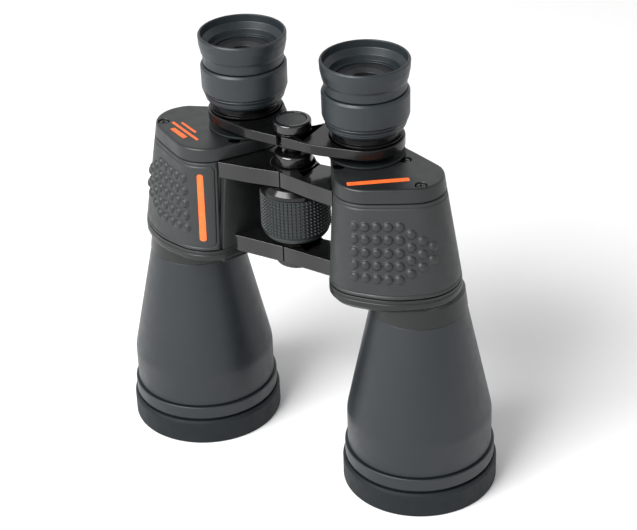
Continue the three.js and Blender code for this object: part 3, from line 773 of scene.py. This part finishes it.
def housing_shell():
    """The casting: its wall, floor and collar, as one skin that runs out, up, over and down inside."""
    foot, top = FLANGE["base"], FLANGE["top"]
    outline = [(4.5, foot, 1.5), (FLANGE["draft"], foot + 1.2, 1.5), (0.0, foot + 3.5, 1.5)]
    for below, inset in ((2.6, 0.0), (2.2, 0.3), (1.8, 0.0), (1.2, 0.0)):
        outline.append((inset, top - below, 0.2))
    outline += [(0.0, top, 0.5), (FLANGE["step"], top + 0.05, 0.2)]
    outline += [(FLANGE["step"], ARMOUR.top, 0.5), (CAVITY_INSET, ARMOUR.top, 0.4)]
    outline += [(CAVITY_INSET, FLOOR_TOP)]
    rings = []
    for inset, height in rounded(outline, closed=False):
        bare = min(inset, BARE_INSET) if inset <= FLANGE["step"] else None
        rings.append(clear_of_collar(plan_ring(height, inset, inner_inset=bare)))
    guide = rings[0]
    bore = SPIGOT_RADIUS + GAP
    low, edge = CONE_TOP + 0.1, 0.15
    socket = [(bore, FLOOR_TOP), (bore, low), (COLLAR["foot"] - edge, low), (COLLAR["foot"], low + edge)]
    for share in (0.33, 0.66, 0.9):
        radius = COLLAR["foot"] + (COLLAR["top"] - COLLAR["foot"]) * share
        socket.append((radius, low + (foot - low) * share))
    rings += [ring_about(OBJECTIVE, radius, height, guide) for radius, height in socket]
    return loft(rings, looped=True)


def knuckle_levels(base, top, part):
    """The two halves' knuckles share a lug's height: one has the upper part, and the other the lower."""
    middle = (base + top) / 2
    if part == "low":
        return base, middle - GAP / 2
    return middle + GAP / 2, top


def lug_shells(lug, part):
    """A hinge lug: its arm, with a curved clearance for the other half's knuckle, and its own knuckle."""
    sweep = LUG_HUB["outer"] + GAP
    clearance = arc((0, 0), sweep, 15, -89, 24)
    corners = [*rounded(lug["front"], closed=False), *lug["back"], *clearance]
    outline = [from_hinge(x, y) for x, y in corners]
    base, top = knuckle_levels(lug["base"], lug["top"], part)
    knuckle = lathe(rounded([
        (LUG_HUB["bore"], base, 0.1), (LUG_HUB["outer"], base, 0.1), (LUG_HUB["outer"], top, 0.1),
        (LUG_HUB["bore"], top, 0.1),
    ]), HINGE, SMALL)
    web = [from_hinge(x, y) for x, y in ((7.0, -8.5), (13.5, -12.5), (14, 3.5), (7.0, 8.0))]
    return [slab(outline, lug["base"], lug["top"], 0.3), knuckle, slab(web, base, top, 0.2)]


def prism_housing(side, sign):
    part = "high" if side == "left" else "low"
    node = f"{side}_prism_housing"
    piece(f"{side}_housing_casting", [sided(housing_shell(), sign)], node, finish="housing_paint")
    lugs = [*lug_shells(LUG_UPPER, part), *lug_shells(LUG_LOWER, part)]
    piece(f"{side}_hinge_lugs", [sided(shell, sign) for shell in lugs], node, stands_for=False)


# ---- cover --------------------------------------------------------------------------------------
COVER_BORE = 13.5                         # the hole that the guide sleeve passes through


def screw_axes():
    for number in (1, 2, 3):
        screw = Measured(f"left_cover_screw_{number}")
        yield screw.x, screw.y


def cover_shell():
    """The lid: a plate with a rounded rim, round the hole that the eyepiece stands in."""
    outline = rounded([
        (0.4, COVER.base), (0.0, COVER.base + 0.5, 0.3), (0.0, COVER.top, 1.1), (3.0, COVER.top),
    ], closed=False)
    rings = [plan_ring(height, inset) for inset, height in outline]
    guide = rings[0]
    for height in (COVER.top, COVER.base):
        rings.append(ring_about(EYEPIECE, COVER_BORE, height, guide))
    return loft(rings, looped=True)


def screw_recess(x, y):
    """The countersunk hole for a screw, as a cutter."""
    seat = COVER.top - 2.4
    return lathe([
        (0, COVER.base - 2), (1.5, COVER.base - 2), (1.5, seat), (3.1, seat), (3.1, COVER.top - 0.3),
        (3.5, COVER.top + 0.1), (3.5, COVER.top + 1), (0, COVER.top + 1),
    ], (x, y), 40)


def cover_plate(side, sign):
    holes = [sided(screw_recess(x, y), sign) for x, y in screw_axes()]
    piece(f"{side}_cover_lid", [sided(cover_shell(), sign)], f"{side}_cover_plate", holes=holes)


def cross_recess(axis, top):
    """Two crossed slots, as one cutter."""
    corners = []
    arm, half = 1.55, 0.32
    for turn in range(4):
        angle = math.pi / 2 * turn + 0.5
        for along, across in ((half, -half), (arm, -half), (arm, half)):
            x = along * math.cos(angle) - across * math.sin(angle)
            y = along * math.sin(angle) + across * math.cos(angle)
            corners.append((axis[0] + x, axis[1] + y))
    return loft([[(x, y, height) for x, y in corners] for height in (top - 1.0, top + 1.0)])


def cover_screws(side, sign):
    for number in (1, 2, 3):
        node = f"{side}_cover_screw_{number}"
        screw = Measured(node)
        seat, shank = screw.top - 1.6, 1.3
        head = lathe(rounded([
            (0, screw.base), (shank, screw.base, 0.2), (shank, seat), (screw.radius, seat, 0.1),
            (screw.radius, screw.top, 0.45), (0, screw.top),
        ], closed=False), (screw.x, screw.y), 48)
        piece(f"{node}_head", [head], node, holes=[cross_recess((screw.x, screw.y), screw.top)])


# Plain bars in place of the printing on the lids: middle from the hinge axis, length, width, turn.
LID_BARS = {
    "left": [((56.5, -12.2), 31.0, 3.4, 37.0)],
    "right": [
        ((-61.5, -13.2), 13.5, 2.6, -25.5),
        ((-60.0, -9.7), 26.0, 1.5, -25.5),
        ((-60.5, -5.5), 14.5, 1.3, -25.5),
    ],
}


def lid_bars(side):
    for number, (middle, length, width, turn) in enumerate(LID_BARS[side], 1):
        signs = ((-1, -1), (1, -1), (1, 1), (-1, 1))
        corners = [(along * length / 2, across * width / 2, 0.5) for along, across in signs]
        angle = math.radians(turn)
        outline = []
        for x, y in rounded(corners):
            along = x * math.cos(angle) - y * math.sin(angle)
            across = x * math.sin(angle) + y * math.cos(angle)
            outline.append(from_hinge(middle[0] + along, middle[1] + across))
        bar = slab(outline, COVER.top - 0.3, COVER.top + 0.1, 0.05)
        name = f"{side}_lid_bar_{number}"
        piece(name, [bar], f"{side}_cover_plate", finish="accent_ink", stands_for=False)


# ---- objective end ------------------------------------------------------------------------------
BARREL_NECK = 25.0                        # radius at the top of the cone
CONE_BASE, CONE_TOP = 43.0, 106.2
SPIGOT_RADIUS = 19.5                      # of the thread that screws into the housing
MOUTH = 34.5                              # radius of the opening in front of the lenses
RING_LIP = 1.3                            # how far the front ring stands out over the bumper


def on_objective(side):
    return (OBJECTIVE[0] * (1 if side == "left" else -1), OBJECTIVE[1])


def bumper(side):
    inner = END_RING.radius - RING_LIP + GAP
    top, floor = BUMPER.top, 3.0
    turned(f"{side}_bumper_ring", f"{side}_objective_bumper", [
        (MOUTH, 0, 0.4), (BUMPER.radius, 0, 0.9), (BUMPER.radius, top - 1.6, 2),
        (BUMPER.radius - 0.9, top, 0.8), (inner, top, 0.3), (inner, floor), (MOUTH, floor, 0.4),
    ], on_objective(side))


def end_ring(side):
    foot, step, seat, top = END_RING.base, 15.7, 13.2, END_RING.top
    core = END_RING.radius - RING_LIP
    bore = BARREL.radius - 1.6
    turned(f"{side}_front_ring", f"{side}_objective_end_ring", [
        (MOUTH, foot, 0.3), (core, foot, 0.3), (core, step, 0.2), (END_RING.radius, step, 0.5),
        (END_RING.radius, top, 0.6), (bore, top, 0.2), (bore, seat), (MOUTH, seat, 0.3),
    ], on_objective(side))


def barrel(side):
    """The tapered tube, with its spigots at both ends and a lip inside for the lenses."""
    foot = END_RING.top + GAP
    spigot = BARREL.radius - 1.9
    wall = 2.0
    inner = SPIGOT_RADIUS - wall
    lip, lens_seat, lens_stop = 26.0, 31.4, 30.0
    outline = [
        (lens_seat, BARREL.base), (spigot, BARREL.base, 0.2), (spigot, foot), (BARREL.radius, foot, 0.5),
        (BARREL.radius, CONE_BASE, 22), (BARREL_NECK, CONE_TOP, 0.5), (SPIGOT_RADIUS, CONE_TOP),
        (SPIGOT_RADIUS, BARREL.top), (inner, BARREL.top), (inner, CONE_TOP - 2),
        (BARREL.radius - wall, CONE_BASE, 20), (BARREL.radius - wall, lip + 4), (lens_stop, lip + 2),
        (lens_stop, lip), (lens_seat, lip),
    ]
    shell = lathe(rounded(outline, steps=7), on_objective(side))
    piece(f"{side}_barrel_tube", [shell], f"{side}_objective_barrel")


def lens_outline(radius, lower, upper, chamfer=0.3):
    """A lens between two spherical faces, each given as (height at the middle, rise at the rim)."""
    steps = 14
    low = [(radius * i / steps, lower[0] + lower[1] * (i / steps) ** 2) for i in range(steps + 1)]
    high = [(radius * i / steps, upper[0] + upper[1] * (i / steps) ** 2) for i in range(steps, -1, -1)]
    low[-1] = (radius - chamfer, low[-1][1])
    high[0] = (radius - chamfer, high[0][1])
    rim = [(radius, low[-1][1] + chamfer), (radius, high[0][1] - chamfer)]
    return low + rim + high


def objective_lenses(side):
    radius = 31.0
    crown = lens_outline(radius, (14.6, 3.2), (24.2, -4.7))
    flint = lens_outline(radius, (24.5, -4.7), (27.0, -1.2))
    piece(f"{side}_crown_glass", [lathe(crown, on_objective(side))], f"{side}_objective_crown_lens")
    piece(f"{side}_flint_glass", [lathe(flint, on_objective(side))], f"{side}_objective_flint_lens")


def retaining_ring(side):
    """The ring that holds the lenses in, with two notches for the key that turns it."""
    node = f"{side}_objective_retaining_ring"
    ring = Measured(node)
    bore = ring.radius - 1.5
    x, y = on_objective(side)
    notch = [(0, ring.base - 1), (0.9, ring.base - 1), (0.9, ring.base + 1), (0, ring.base + 1)]
    notches = []
    for turn in (0, 1):
        facing = math.pi * turn + 0.4
        place = (x + bore * math.cos(facing), y + bore * math.sin(facing))
        notches.append(lathe(notch, place, 24))
    turned(f"{side}_lens_lock_ring", node, [
        (bore, ring.base, 0.3), (ring.radius, ring.base, 0.3),
        (ring.radius, ring.top), (bore, ring.top, 0.3),
    ], (x, y), holes=notches)


# ---- eyepiece end -------------------------------------------------------------------------------
def on_eyepiece(side):
    return (EYEPIECE[0] * (1 if side == "left" else -1), EYEPIECE[1])


SLEEVE_RADIUS, SLEEVE_BORE = 13.2, 12.0
TUBE_RADIUS, TUBE_CORE, TUBE_SHOULDER = 17.2, 15.0, 204.6
ARM_RING, ARM_BORE = 19.7, 15.6
# Heights of the ocular ring: its foot, the start of its thick band, and the step inside it.
RING_FOOT, RING_BAND, RING_STEP = 199.4, 205.0, 206.4


def sleeve(side):
    """The fixed guide tube on the cover. Its flange stays clear of the arm at the slide's lower limit."""
    foot = COVER.top + GAP
    flange = foot + 1.3
    turned(f"{side}_guide_sleeve", f"{side}_eyepiece_sleeve", [
        (SLEEVE_BORE, SLEEVE.base, 0.2), (SLEEVE_RADIUS, SLEEVE.base, 0.2), (SLEEVE_RADIUS, foot),
        (SLEEVE.radius, foot, 0.2), (SLEEVE.radius, flange, 0.8), (SLEEVE_RADIUS + 0.6, flange, 0.3),
        (SLEEVE_RADIUS, foot + 1.7, 0.2), (SLEEVE_RADIUS, SLEEVE.top, 0.3), (SLEEVE_BORE, SLEEVE.top, 0.3),
    ], on_eyepiece(side), finish="sleeve_black")


def tube(side):
    """The moving tube, with a collar on the arm and a thin groove under the ocular ring."""
    slide = SLEEVE_RADIUS + GAP
    neck = ARM_BORE - GAP
    collar = TUBE_RADIUS + 1.4
    groove = TUBE_RADIUS - 0.4
    seat = ARM.top + GAP
    stem = 11.9
    turned(f"{side}_sliding_tube", f"{side}_eyepiece_tube", [
        (slide, TUBE.base), (neck, TUBE.base, 0.3), (neck, seat), (collar, seat, 0.4),
        (collar, seat + 1.1, 0.4), (TUBE_RADIUS, seat + 1.5, 0.3), (TUBE_RADIUS, RING_FOOT - 1.5, 0.2),
        (groove, RING_FOOT - 1.2), (groove, RING_FOOT - 0.6), (TUBE_RADIUS, RING_FOOT - 0.3),
        (TUBE_RADIUS, TUBE_SHOULDER, 0.3), (TUBE_CORE, TUBE_SHOULDER), (TUBE_CORE, TUBE.top),
        (stem, TUBE.top), (stem, OCULAR.base), (slide, OCULAR.base),
    ], on_eyepiece(side), finish="tube_black")


def ocular_ring(side):
    """The rubber-covered ring: a skirt with a fine step, a groove, and a thicker band above it."""
    skirt = OCULAR.radius - 1.7
    band = OCULAR.radius - 0.1
    bore, neck = TUBE_RADIUS + 0.4, TUBE_CORE + 0.4
    turned(f"{side}_ring_rubber", f"{side}_ocular_ring", [
        (bore, RING_FOOT, 0.3), (skirt - 1.0, RING_FOOT, 0.5), (skirt, RING_FOOT + 1.6, 1.2),
        (skirt, RING_BAND - 3.2, 0.4), (skirt + 0.25, RING_BAND - 2.9, 0.2),
        (skirt + 0.3, RING_BAND - 2.0, 0.4), (band - 0.5, RING_BAND - 0.5, 0.3),
        (band - 0.75, RING_BAND - 0.2, 0.1), (band - 0.5, RING_BAND + 0.1, 0.2),
        (band, RING_BAND + 1.1, 0.8), (OCULAR.radius, OCULAR.top - 1.3, 0.8),
        (OCULAR.radius - 0.8, OCULAR.top, 0.5), (neck, OCULAR.top, 0.3),
        (neck, RING_STEP), (bore, RING_STEP),
    ], on_eyepiece(side))


def lens_cell(side):
    bore, stem, opening = 9.6, 11.6, 7.5
    shelf = 221.5
    turned(f"{side}_lens_mount", f"{side}_eye_lens_cell", [
        (bore, CELL.base), (stem, CELL.base, 0.3), (stem, shelf), (CELL.radius, shelf, 0.2),
        (CELL.radius, CELL.top, 0.6), (opening + 2.4, CELL.top, 0.5), (opening, CELL.top - 1.6, 0.3),
        (opening, shelf - 0.4), (bore, shelf - 0.4),
    ], on_eyepiece(side))


def eyecup(side):
    """The flared rubber cup, with a rounded rim and a ledge inside it."""
    foot, rim, top = EYECUP.base, EYECUP.radius, EYECUP.top
    bore, floor = CELL.radius + 0.4, top - 9.4
    turned(f"{side}_cup_rubber", f"{side}_eyecup", [
        (bore, foot, 0.2), (20.8, foot, 0.5), (21.0, foot + 4.6, 3), (21.7, foot + 6.2, 1.5),
        (rim - 0.2, top - 5.0, 2), (rim, top - 0.9, 0.7), (rim - 0.5, top, 0.5),
        (rim - 1.4, top, 0.5), (rim - 1.9, top - 3.9, 0.8), (17.9, top - 6.6, 0.6),
        (17.2, floor, 0.3), (bore, floor, 0.3),
    ], on_eyepiece(side))


def eye_lenses(side):
    field = lens_outline(11.6, (201.6, 1.0), (206.4, -1.4))
    eye = lens_outline(9.3, (214.0, 1.4), (220.4, -1.0))
    piece(f"{side}_field_glass", [lathe(field, on_eyepiece(side), 96)], f"{side}_field_lens")
    piece(f"{side}_eye_glass", [lathe(eye, on_eyepiece(side), 96)], f"{side}_eye_lens")


# ---- ocular bridge ------------------------------------------------------------------------------
ARM_HUB = 8.8                             # radius of the arms' knuckles
ARM_STARTS = {"left": 0.1, "right": 3.0}  # where each arm's front begins, beside the hinge axis


def ocular_arm(side, sign):
    """An arm from its knuckle on the spindle to the ring that grips the eyepiece."""
    eye = (EYEPIECE[0] - HINGE[0], EYEPIECE[1] - HINGE[1])
    start = ARM_STARTS[side]
    bend = (20, -11.0)                    # the front runs on from here as a tangent to the ring
    away = math.dist(bend, eye)
    slope = math.atan2(eye[1] - bend[1], eye[0] - bend[0]) - math.asin(ARM_RING / away)
    run = math.sqrt(away ** 2 - ARM_RING ** 2)
    touch = (bend[0] + run * math.cos(slope), bend[1] + run * math.sin(slope))
    front = rounded([(start, -10.8), (10, -10.9, 20), (*bend, 30), touch], closed=False)
    inside = arc(eye, ARM_RING - 2.4, -70, -222, 24)
    back = rounded([inside[-1], (21.5, 26.0, 2), (13, 16.5, 20), (6.5, 7.0)], closed=False)[1:]
    sweep = ARM_HUB + GAP
    clearance = arc((0, 0), sweep, 44, -math.degrees(math.acos(start / sweep)), 20)
    outline = [from_hinge(x, y) for x, y in [*front, *inside, *back, *clearance]]
    base, top = knuckle_levels(ARM.base, ARM.top, "high" if side == "left" else "low")
    bore = 4.3
    knuckle = rounded([(bore, base, 0.3), (ARM_HUB, base, 0.4), (ARM_HUB, top, 0.4), (bore, top, 0.3)])
    ring = rounded([
        (ARM_BORE, ARM.base, 0.3), (ARM_RING, ARM.base, 0.6),
        (ARM_RING, ARM.top, 0.6), (ARM_BORE, ARM.top, 0.3),
    ])
    web = [from_hinge(x, y) for x, y in ((5.5, -6.5), (12, -9.5), (12, 12), (5.5, 6.5))]
    shells = [
        slab(outline, ARM.base, ARM.top, 0.6), lathe(knuckle, HINGE, SMALL), lathe(ring, EYEPIECE),
        slab(web, base, top, 0.2),
    ]
    shells = [sided(shell, sign) for shell in shells]
    piece(f"{side}_bridge_arm", shells, f"{side}_ocular_arm", finish="arm_paint")


# ---- hinge and focusing gear --------------------------------------------------------------------
def hinge_bush():
    bore, radius = 4.4, 6.0
    seat, top = HOUSING.top + GAP, BUSH.top
    turned("hinge_bush_collar", "hinge_bush", [
        (bore, BUSH.base), (radius, BUSH.base), (radius, seat), (BUSH.radius - 0.5, seat, 0.2),
        (BUSH.radius, seat + 0.6, 0.3), (BUSH.radius, top, 1.9),
        (bore + 1.2, top, 0.4), (bore, top - 1.0, 0.3),
    ], HINGE)


def hinge_pin():
    """The pin that the lower lugs turn on, hollow below for the tripod socket."""
    pin = Measured("hinge_pin")
    bore, boss, radius = 5.5, 7.0, 6.0
    bore_end = 129.0
    lug = LUG_LOWER["base"] - GAP
    turned("hinge_pin_turned", "hinge_pin", [
        (0, bore_end), (bore, bore_end), (bore, pin.base, 0.3), (boss, pin.base, 0.3), (boss, lug, 0.3),
        (radius, lug), (radius, pin.top, 0.6), (0, pin.top),
    ], HINGE, SMALL, closed=False)


def thrust_washer():
    washer = Measured("thrust_washer")
    bore, edge = 6.4, 0.15
    turned("thrust_washer_disc", "thrust_washer", [
        (bore, washer.base, edge), (washer.radius, washer.base, edge),
        (washer.radius, washer.top, edge), (bore, washer.top, edge),
    ], HINGE, SMALL)


# The wheel's hub, how far down and up its rubber reaches, and the grid of studs on the rubber.
WHEEL_HUB = 12.0
RUBBER_BASE, RUBBER_TOP = GRIP.base - 1.0, GRIP.top - 2.4
STUDS = {"around": 52, "rows": 11, "height": 0.9, "lip": 0.7}


def focus_wheel():
    """The wheel's core: its hub, the channel that the rubber lies in, and the glossy ring on top."""
    bore, core = 4.3, GRIP.radius - 2.8
    low = RUBBER_BASE - GAP
    high = RUBBER_TOP + GAP
    turned("focus_wheel_core", "focus_wheel", [
        (bore, WHEEL.base), (WHEEL_HUB, WHEEL.base, 0.6), (WHEEL_HUB, low), (core, low), (core, high),
        (GRIP.radius - 0.2, high, 0.3), (GRIP.radius - 0.3, high + 2.0, 1.2),
        (GRIP.radius - 3.2, WHEEL.top - 0.1, 2.6), (GRIP.radius - 6.0, WHEEL.top, 1.0),
        (GRIP.radius - 7.0, WHEEL.top - 0.9, 0.6), (bore, WHEEL.top - 1.3, 0.3),
    ], HINGE, finish="wheel_black")


def stud_profile(share):
    """Height of a stud across its pitch, from groove to flat top and back."""
    return min(1.0, max(0.0, (0.5 - abs(share - 0.5)) / 0.18 - 0.89))


def focus_wheel_grip():
    """The rubber round the wheel: a grid of small square studs between plain lips, and a band below."""
    root = GRIP.radius - STUDS["height"]
    inner = GRIP.radius - 2.5
    marks = (0.0, 0.16, 0.34, 0.66, 0.84)
    angles = [(i + m) / STUDS["around"] * math.tau for i in range(STUDS["around"]) for m in marks]
    across = [stud_profile(m) for _ in range(STUDS["around"]) for m in marks]
    base, top = RUBBER_BASE + STUDS["lip"], RUBBER_TOP - STUDS["lip"]
    levels = [(RUBBER_BASE, -0.4, False), (RUBBER_BASE + 0.3, 0.3, False), (base - 0.1, 0.3, False)]
    for row in range(STUDS["rows"]):
        for mark in marks:
            levels.append((base + (top - base) * (row + mark) / STUDS["rows"], stud_profile(mark), True))
    levels += [(top, 0.0, True), (top + 0.1, 0.3, False), (RUBBER_TOP - 0.3, 0.3, False)]
    levels.append((RUBBER_TOP, -0.4, False))
    rings = []
    for height, lift, studded in levels:
        ring = []
        for angle, share in zip(angles, across):
            radius = root + STUDS["height"] * (min(lift, share) if studded else lift)
            ring.append(from_hinge(radius * math.cos(angle), radius * math.sin(angle)) + (height,))
        rings.append(ring)
    for height in (RUBBER_TOP, RUBBER_BASE):
        rings.append([from_hinge(inner * math.cos(a), inner * math.sin(a)) + (height,) for a in angles])
    hub, flare, foot, low = WHEEL_HUB + 0.2, GRIP.radius - 0.9, WHEEL.base + 2.4, RUBBER_BASE - GAP
    band = rounded([
        (hub, foot, 0.2), (flare - 1.6, foot, 1.4), (flare, low - 0.9, 1.2), (flare - 0.3, low, 0.2),
        (hub, low, 0.2),
    ])
    shells = [loft(rings, looped=True), lathe(band, HINGE)]
    piece("focus_wheel_rubber", shells, "focus_wheel_grip", crease=50)


def focus_spindle():
    radius, collar = 3.9, SPINDLE.radius
    shoulder = ARM.base - GAP
    turned("focus_spindle_turned", "focus_spindle", [
        (0, SPINDLE.base), (radius, SPINDLE.base, 0.4), (radius, shoulder - 2.4, 0.6),
        (collar - 0.8, shoulder - 1.8, 0.4), (collar, shoulder - 1.2, 0.3), (collar, shoulder, 0.2),
        (radius, shoulder), (radius, SPINDLE.top, 0.3), (0, SPINDLE.top),
    ], HINGE, SMALL, closed=False)


def spindle_cap():
    """The knob on top of the spindle, and the plain disc let into it."""
    bore, radius, base, top = 4.2, BUTTON.radius, BUTTON.base, BUTTON.top
    disc = radius - 2.6
    ceiling = SPINDLE.top + GAP
    dish = top - 0.7
    turned("spindle_knob", "spindle_cap", [
        (0, ceiling), (bore, ceiling), (bore, base, 0.2), (radius - 0.9, base, 0.5),
        (radius, base + 1.0, 0.5), (radius, top, 1.4), (disc + 0.25, top, 0.2),
        (disc + 0.2, dish - 0.6), (0, dish - 0.6),
    ], HINGE, closed=False)
    turned("spindle_knob_disc", "spindle_cap", [
        (0, dish - 0.5), (disc, dish - 0.5), (disc, dish + 0.45, 0.25), (disc - 1.2, dish + 0.45),
        (0, dish + 0.5),
    ], HINGE, closed=False, finish="cap_plastic", stands_for=False)


def tripod_socket():
    """The threaded insert for a tripod adapter. Its thread is cut as plain rings, without a helix."""
    socket = Measured("tripod_socket")
    bore, pitch, depth = 3.175, 1.27, 0.55
    foot = socket.base + 0.6
    outline = [
        (bore + 0.5, socket.base), (socket.radius, socket.base, 0.2), (socket.radius, socket.top, 0.2),
        (bore, socket.top),
    ]
    turns = int((socket.top - socket.base - 1) / pitch)
    for i in range(turns, 0, -1):
        height = foot + i * pitch
        outline += [(bore, height), (bore + depth, height - pitch / 2)]
    outline.append((bore, foot))
    turned("tripod_socket_threaded", "tripod_socket", outline, HINGE, SMALL)


def tripod_cap():
    """A shallow domed cap with a fluted edge and a stud that fills the socket."""
    bore, stud = 7.6, 2.8
    socket = Measured("tripod_socket")
    floor = CAP.base + 1.8
    outline = rounded([
        (0, CAP.base), (CAP.radius - 2.6, CAP.base, 3.0), (CAP.radius - 0.6, CAP.base + 1.4, 1.2),
        (CAP.radius, CAP.base + 2.8, 1.0), (CAP.radius, CAP.top, 0.4), (bore, CAP.top, 0.3), (bore, floor),
        (stud, floor), (stud, socket.top - 2, 0.4), (0, socket.top - 2),
    ], closed=False)
    flutes = 30
    verts, faces = lathe(outline, HINGE, flutes * 6)
    fluted = []
    for x, y, height in verts:
        out = Vector((x - HINGE[0], y - HINGE[1]))
        if out.length > CAP.radius - 0.15 and CAP.base + 2 < height < CAP.top - 0.1:
            out *= 1 - 0.035 * max(0.0, math.cos(flutes * math.atan2(out.y, out.x)))
        fluted.append((HINGE[0] + out.x, HINGE[1] + out.y, height))
    piece("tripod_cap_fluted", [(fluted, faces)], "tripod_cap")


# ---- pieces that stay as the CAD made them ------------------------------------------------------
def dress_hidden_nodes():
    """The prisms, their clips and the shelf are right as they are, so they only get their finish."""
    for side in ("left", "right"):
        for part in ("prism_shelf", "upper_prism", "lower_prism", "upper_prism_clip", "lower_prism_clip"):
            node = f"{side}_{part}"
            obj = frame["nodes"][node]
            obj.data.materials.clear()
            obj.data.materials.append(FINISHES[SLOT_OF[node]])


# ---- studio -------------------------------------------------------------------------------------
# Places and sizes in this section are metres, except for the floor's, and the camera's angles are degrees.
VIEW = {
    "azimuth": 31.98, "elevation": 30.59, "roll": -2.113,
    "place": (0.4595, -0.7216, 0.6158), "lens": 105.75, "sensor": 36,
}


def camera():
    data = bpy.data.cameras.new("camera")
    data.lens = VIEW["lens"]
    data.sensor_width = VIEW["sensor"]
    obj = bpy.data.objects.new("camera", data)
    bpy.context.scene.collection.objects.link(obj)
    azimuth, elevation = math.radians(VIEW["azimuth"]), math.radians(VIEW["elevation"])
    across = math.cos(elevation)
    back = Vector((math.sin(azimuth) * across, -math.cos(azimuth) * across, math.sin(elevation)))
    level = (-back).to_track_quat("-Z", "Y")
    obj.location = VIEW["place"]
    obj.rotation_mode = "QUATERNION"
    obj.rotation_quaternion = level @ Quaternion((0, 0, 1), math.radians(VIEW["roll"]))
    bpy.context.scene.camera = obj


def floor():
    """A plain pale floor, which runs well past the picture."""
    half = 4000
    corners = [(-half, -half, 0), (half, -half, 0), (half, half, 0), (-half, half, 0)]
    sheet = mesh_object("floor", [(corners, [(0, 1, 2, 3)])])
    box = Paintbox("studio_floor", Specular_IOR_Level=0.1, Roughness=0.9)
    tone = box.mottled(box.noise(400, 2), (0.86, 0.86, 0.86), (0.88, 0.88, 0.88))
    sheet.data.materials.append(box.finished(tone))


def softbox(name, place, size, watts):
    """A rectangular light that faces the middle of the object."""
    data = bpy.data.lights.new(name, "AREA")
    data.shape = "RECTANGLE"
    data.size, data.size_y = size
    data.energy = watts
    obj = bpy.data.objects.new(name, data)
    obj.location = place
    target = Vector((0, 0, 0.12))
    obj.rotation_mode = "QUATERNION"
    obj.rotation_quaternion = (target - Vector(place)).to_track_quat("-Z", "Y")
    bpy.context.scene.collection.objects.link(obj)


def backdrop():
    """A white sweep up to head height, and a dim ceiling over it."""
    world = bpy.data.worlds.new("studio")
    bpy.context.scene.world = world
    world.use_nodes = True
    nodes, links = world.node_tree.nodes, world.node_tree.links
    place = nodes.new("ShaderNodeTexCoord")
    split = nodes.new("ShaderNodeSeparateXYZ")
    ramp = nodes.new("ShaderNodeMapRange")
    ramp.interpolation_type = "SMOOTHSTEP"
    set_range(ramp, 0.5, 0.85, 1.05, 0.25)
    links.new(place.outputs["Generated"], split.inputs["Vector"])
    links.new(split.outputs["Z"], ramp.inputs["Value"])
    links.new(ramp.outputs["Result"], nodes["Background"].inputs["Strength"])
    nodes["Background"].inputs["Color"].default_value = (1.0, 1.0, 1.0, 1.0)


def studio():
    backdrop()
    bpy.context.scene.view_settings.view_transform = "Standard"
    softbox("key", (-0.35, -1.15, 1.25), (1.2, 0.8), 46)


# ---- the object ---------------------------------------------------------------------------------
camera()
floor()
studio()
for side, sign in (("left", 1), ("right", -1)):
    armour(side, sign)
    prism_housing(side, sign)
    cover_plate(side, sign)
    cover_screws(side, sign)
    lid_bars(side)
    bumper(side)
    end_ring(side)
    barrel(side)
    objective_lenses(side)
    retaining_ring(side)
    sleeve(side)
    tube(side)
    ocular_ring(side)
    lens_cell(side)
    eyecup(side)
    eye_lenses(side)
    ocular_arm(side, sign)
armour_bar("right", -1)
hinge_bush()
hinge_pin()
thrust_washer()
focus_wheel()
focus_wheel_grip()
focus_spindle()
spindle_cap()
tripod_socket()
tripod_cap()
dress_hidden_nodes()
